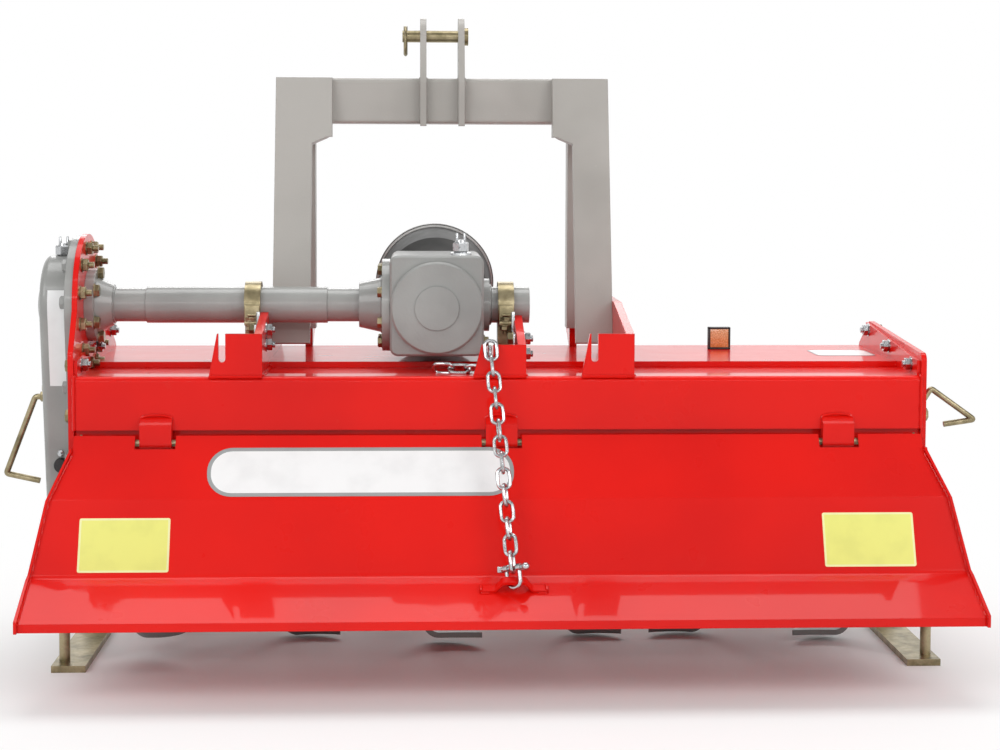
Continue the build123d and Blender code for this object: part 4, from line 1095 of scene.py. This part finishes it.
def shackle():
    """A round bow through the strap, its pin with a knob and a flat tab, and the eyes round the pin."""
    mesh = bmesh.new()
    way = (CHAIN_FOOT - CHAIN_TOP).normalized()
    rearward = Vector(RIGHT).cross(way).normalized()
    across = (Vector(RIGHT) * cos(PIN_TURN) - rearward * sin(PIN_TURN)).normalized()
    down = (BOW_AT - PIN_AT).normalized()
    middle = BOW_AT - down * BOW_LEGS
    arc = [
        middle + across * (BOW_LEGS * cos(turn)) + down * (BOW_LEGS * sin(turn))
        for turn in [pi * step / 8 for step in range(9)]
    ]
    ends = [PIN_AT - down * 0.002 + across * (side * BOW_LEGS) for side in (1, -1)]
    data, line = tube_curve("NURBS", [ends[0], *arc, ends[1]], BOW_WIRE, 3)
    line.order_u = 3
    line.use_endpoint_u = True
    data.resolution_u = 4
    add_curve(mesh, data)
    turned(mesh, PIN_AT, across, [(-0.018, BOW_WIRE), (0.019, BOW_WIRE)], 16)
    turns = [radians(step) for step in range(-75, 90, 25)]
    knob = [(0.0058 * sin(turn), 0.0058 * cos(turn)) for turn in turns]
    turned(mesh, PIN_AT + across * 0.0215, across, knob, 20)
    for side in (-1, 1):
        eye = PIN_AT + across * (side * BOW_LEGS)
        turned(mesh, eye - across * 0.0032, across, [(0, 0.0055), (0.0064, 0.0055)], 20)
    tab, corner = PIN_AT - across * 0.0205, Vector((0.0045, 0.0012, 0.0045))
    slab(mesh, tab - corner, tab + corner, 0.001)
    return piece("shackle", mesh, [bright_finish], "bright_zinc", "flap")


def flap_welds():
    mesh = bmesh.new()
    for side in (-1, 1):
        corners = [
            on_flap(0, side * FLAP_SIDES[0], 0.030),
            on_flap(1, side * FLAP_SIDES[1], 0.0),
            on_flap(2, side * FLAP_SIDES[2], 0.0),
            on_flap(2, side * FLAP_SIDES[2], 0.100),
        ]
        weld(mesh, corners, 0.0019)
    return piece("flap_welds", mesh, [red_finish], "red_paint", "flap")


anchor_strap()
shackle()
flap_welds()

# Sheets stuck on the machine, all blank: a white one with a grey edge across the flap's top, a yellow
# one at each side below it, a white one on the deck's right end and one round the gear case's rear.
SHEET_WHITE = (0.86, 0.86, 0.86, 1)
SHEET_GREY = (0.33, 0.34, 0.34, 1)
SHEET_YELLOW = (0.79, 0.79, 0.19, 1)
SHEET_CREAM = (0.86, 0.85, 0.42, 1)
VINYL = 0.0004
DECK_TOP = 0.443
CASE_WALL_R = 0.0753
CASE_SHEET_X = (-0.6665, -0.6375)
CASE_SHEET_TURNS = (159.7, 188.2)
CASE_SHEET_FOOT = (0.0908, 0.4110)


def vinyl(name, colour):
    material, tree, shader = new_finish(name)
    faded = tuple(0.93 * part for part in colour[:3]) + (1,)
    feed(tree, shader, base=noise(tree, 25.0, 4.0).ramp(0.4, 0.75).mix(colour, faded))
    feed(tree, shader, rough=noise(tree, 60.0) * 0.1 + 0.3)
    bumped(tree, shader, noise(tree, 90.0, 3.0), 0.05, 0.0003, 0.0004)
    return material


def stuck_sheet(name, pose, wide, tall, corner, edge, finishes, body):
    """A thin sheet with rounded corners; its edge band takes the first finish."""
    mesh = bmesh.new()
    bmesh.ops.create_grid(mesh, x_segments=1, y_segments=1, size=0.5)
    bmesh.ops.scale(mesh, vec=(wide, tall, 1), verts=mesh.verts[:])
    bmesh.ops.bevel(
        mesh, geom=mesh.verts[:], offset=corner, segments=10, profile=0.5, affect="VERTICES", material=-1
    )
    draw_out(mesh, bmesh.ops.extrude_face_region(mesh, geom=mesh.faces[:]), (0, 0, VINYL))
    bmesh.ops.recalc_face_normals(mesh, faces=mesh.faces[:])
    top = max(mesh.faces, key=lambda face: face.calc_center_median().z)
    bmesh.ops.inset_region(mesh, faces=[top], thickness=edge, use_even_offset=True)
    top.material_index = 1
    bmesh.ops.transform(mesh, matrix=pose, verts=mesh.verts[:])
    return piece(name, mesh, finishes, "shield_plastic", body)


white, grey = vinyl("sheet_white", SHEET_WHITE), vinyl("sheet_grey", SHEET_GREY)
yellow, cream = vinyl("sheet_yellow", SHEET_YELLOW), vinyl("sheet_cream", SHEET_CREAM)
flap_pose_white = flap_pose(0, -0.2025, 0.0578)
flap_pose_left = flap_pose(1, -0.5330, 0.0648)
flap_pose_right = flap_pose(1, 0.5217, 0.0617)
stuck_sheet("flap_sheet_white", flap_pose_white, 0.438, 0.076, 0.0355, 0.0055, [grey, white], "flap")
stuck_sheet("flap_sheet_left", flap_pose_left, 0.127, 0.077, 0.003, 0.003, [cream, yellow], "flap")
stuck_sheet("flap_sheet_right", flap_pose_right, 0.131, 0.078, 0.003, 0.003, [cream, yellow], "flap")
deck_pose = Matrix.Translation(at(0.5555, 0.2640, DECK_TOP))
stuck_sheet("deck_sheet_white", deck_pose, 0.094, 0.094, 0.012, 0.003, [grey, white], "frame")


def case_sheet():
    """Follows the case's rear wall: round its head, then straight down."""
    mesh = bmesh.new()
    left, right = CASE_SHEET_X
    first, last = CASE_SHEET_TURNS
    rows = []
    for step in range(9):
        turn = radians(first + (last - first) * step / 8)
        rows.append((SHAFT_Y + CASE_WALL_R * cos(turn), SHAFT_Z + CASE_WALL_R * sin(turn)))
    rows.append(CASE_SHEET_FOOT)
    verts = [mesh.verts.new(at(left, y, z)) for y, z in rows]
    edges = [mesh.edges.new(pair) for pair in zip(verts, verts[1:])]
    draw_out(mesh, bmesh.ops.extrude_edge_only(mesh, edges=edges), (right - left, 0, 0))
    bmesh.ops.recalc_face_normals(mesh, faces=mesh.faces[:])
    bmesh.ops.solidify(mesh, geom=mesh.faces[:], thickness=VINYL)
    bmesh.ops.recalc_face_normals(mesh, faces=mesh.faces[:])
    return piece("case_sheet", mesh, [white], "shield_plastic", "frame")


case_sheet()

# Rod handles: 9 mm round bar, bent cold and screwed into the right plate and the gear case.
HANDLE_R = 0.0045
HANDLE_Y = 0.120
HANDLE_BEND = 0.009
HANDLE_NUT = 0.008
RIGHT_Z = 0.380
RIGHT_REACH = 0.1055
LEFT_Z = 0.392
LEFT_REACH = 0.1135


def swept(mesh, points, radius, bend, roundness=4):
    """Adds a round rod along some points, bent at each corner between them."""
    places = [points[0]]
    for before, corner, after in zip(points, points[1:], points[2:]):
        places.append(corner + (before - corner).normalized() * bend)
        places.append(corner)
        places.append(corner + (after - corner).normalized() * bend)
    places.append(points[-1])
    data, line = tube_curve("NURBS", places, radius, roundness)
    line.order_u = 3
    line.use_endpoint_u = True
    data.resolution_u = 6
    add_curve(mesh, data)


def rod_handles():
    right, left = bmesh.new(), bmesh.new()
    out = HALF + RIGHT_REACH
    foot = [(HALF - 0.001, RIGHT_Z), (HALF + 0.024, RIGHT_Z), (HALF + 0.038, 0.402)]
    points = [*foot, (out, 0.354), (out - 0.047, 0.347)]
    swept(right, [at(x, HANDLE_Y, z) for x, z in points], HANDLE_R, HANDLE_BEND)
    bolt_head(right, at(HALF, HANDLE_Y, RIGHT_Z), RIGHT, HANDLE_NUT)
    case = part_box("gear_case")[0].x + 0.008
    out = HALF + LEFT_REACH
    points = [(case - 0.001, LEFT_Z), (case - 0.014, LEFT_Z), (-out, 0.276), (0.050 - out, 0.265)]
    swept(left, [at(x, HANDLE_Y, z) for x, z in points], HANDLE_R, HANDLE_BEND)
    bolt_head(left, at(case, HANDLE_Y, LEFT_Z), LEFT, HANDLE_NUT)
    piece("rod_handle_right", right, [zinc_finish], "yellow_zinc", "frame", "handle_right")
    piece("rod_handle_left", left, [zinc_finish], "yellow_zinc", "frame", "handle_left")


rod_handles()

# Linch pin of the top link: a sprung ring of 4 mm wire on a shank that drops through the pin.
RING_R = 0.0230
RING_WIRE = 0.002


def linch_pin():
    mesh = bmesh.new()
    low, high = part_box("top_link_clip")
    middle = (low + high) / 2
    wire_ring(mesh, middle, Vector(UP), Vector((0, 1, 0)), RING_R, RING_WIRE, 16, 3)
    shank = [(0, 0.0020), (0.002, 0.0032), (0.047, 0.0032)]
    turned(mesh, middle - Vector((0, 0, 0.0235)), UP, shank, 16)
    return piece("linch_pin", mesh, [zinc_finish], "yellow_zinc", "frame", "top_link_clip")


linch_pin()

# Split pins: one through each end of the flap's hinge rod, its two legs bent over, with a washer
# inside it.
PIN_WIRE = 0.0012


def split_pins():
    mesh = bmesh.new()
    low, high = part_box("hinge_rod")
    y, z = (low.y + high.y) / 2 - REAR_FACE, (low.z + high.z) / 2
    for side in (-1, 1):
        x = side * (high.x - 0.008)
        for leg in (1, -1):
            head, bow = (x, y, z + 0.012), (x + leg * 0.003, y, z + 0.006)
            points = [head, bow, (x, y, z - 0.009), (x - leg * 0.004, y - 0.004, z - 0.013)]
            swept(mesh, [at(*point) for point in points], PIN_WIRE, 0.002, 2)
        turned(mesh, at(x - side * 0.006, y, z), RIGHT, [(-0.001, 0.0095), (0.001, 0.0095)], 24)
    return piece("split_pins", mesh, [zinc_finish], "yellow_zinc", "frame")


split_pins()

# Skid bolts: two screws through each skid's tab into the side plate, and nuts on the rear post.
def skid_bolts():
    mesh = bmesh.new()
    for side, out in ((-1, LEFT), (1, RIGHT)):
        for z in (0.150, 0.205):
            bolt_head(mesh, at(side * (HALF + 0.008), 0.332, z), out, turn=z)
        post = at(side * (HALF + 0.016), 0.045, 0.232)
        turned(mesh, post, UP, [(-0.002, 0.0125), (0.009, 0.0125), (0.011, 0.0105)], 6)
        turned(mesh, post - Vector((0, 0, 0.062)), UP, [(0, 0.0125), (0.011, 0.0125)], 6, 0.4)
    return piece("skid_bolts", mesh, [zinc_finish], "yellow_zinc", "frame")


skid_bolts()

# Blade bolts: two screws hold each blade on its flange, with the nuts on the other side.
BLADE_SCREW = 0.0095
BLADES = 6
TINE_PITCH = 0.220
TINE_TURNS = (30, 6, -10, 4, 66, 54)
TINE_HALF = 0.004
BOLT_RING = 0.0655
BOLT_APART = 0.0105


def blade_bolts():
    mesh = bmesh.new()
    for number, first in enumerate(TINE_TURNS):
        x = (number - 2.5) * TINE_PITCH
        for blade in range(BLADES):
            turn = radians(first + 360 / BLADES * blade)
            along = Vector((0, -sin(turn), cos(turn)))
            across = Vector((0, cos(turn), sin(turn)))
            for side in (-1, 1):
                place = at(x, ROTOR_Y, ROTOR_Z) + along * BOLT_RING + across * (side * BOLT_APART)
                shift = Vector((TINE_HALF, 0, 0))
                bolt_head(mesh, place - shift, LEFT, BLADE_SCREW, turn)
                nut(mesh, place + shift, RIGHT, BLADE_SCREW, turn, 0.3)
    return piece("blade_bolts", mesh, [tine_finish], "tine_paint", "rotor")


blade_bolts()

# Reflector: the lens set in a black frame with a lip all round, which stands on the deck.
LIP = 0.003


def framed_reflector():
    lens, holder = bmesh.new(), bmesh.new()
    low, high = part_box("reflector")
    inset = Vector((LIP, 0, LIP))
    slab(lens, low + inset - Vector((0, 0.0003, 0)), high - inset - Vector((0, 0.002, 0)), 0.001)
    for start, end in (
        ((low.x, low.z), (low.x + LIP, high.z)),
        ((high.x - LIP, low.z), (high.x, high.z)),
        ((low.x, low.z), (high.x, low.z + LIP)),
        ((low.x, high.z - LIP), (high.x, high.z)),
    ):
        slab(holder, Vector((start[0], low.y - 0.001, start[1])), Vector((end[0], high.y, end[1])))
    piece("reflector_lens", lens, [lens_finish], "amber_lens", "frame", "reflector")
    piece("reflector_frame", holder, [plug_finish], "shield_plastic", "frame")


framed_reflector()
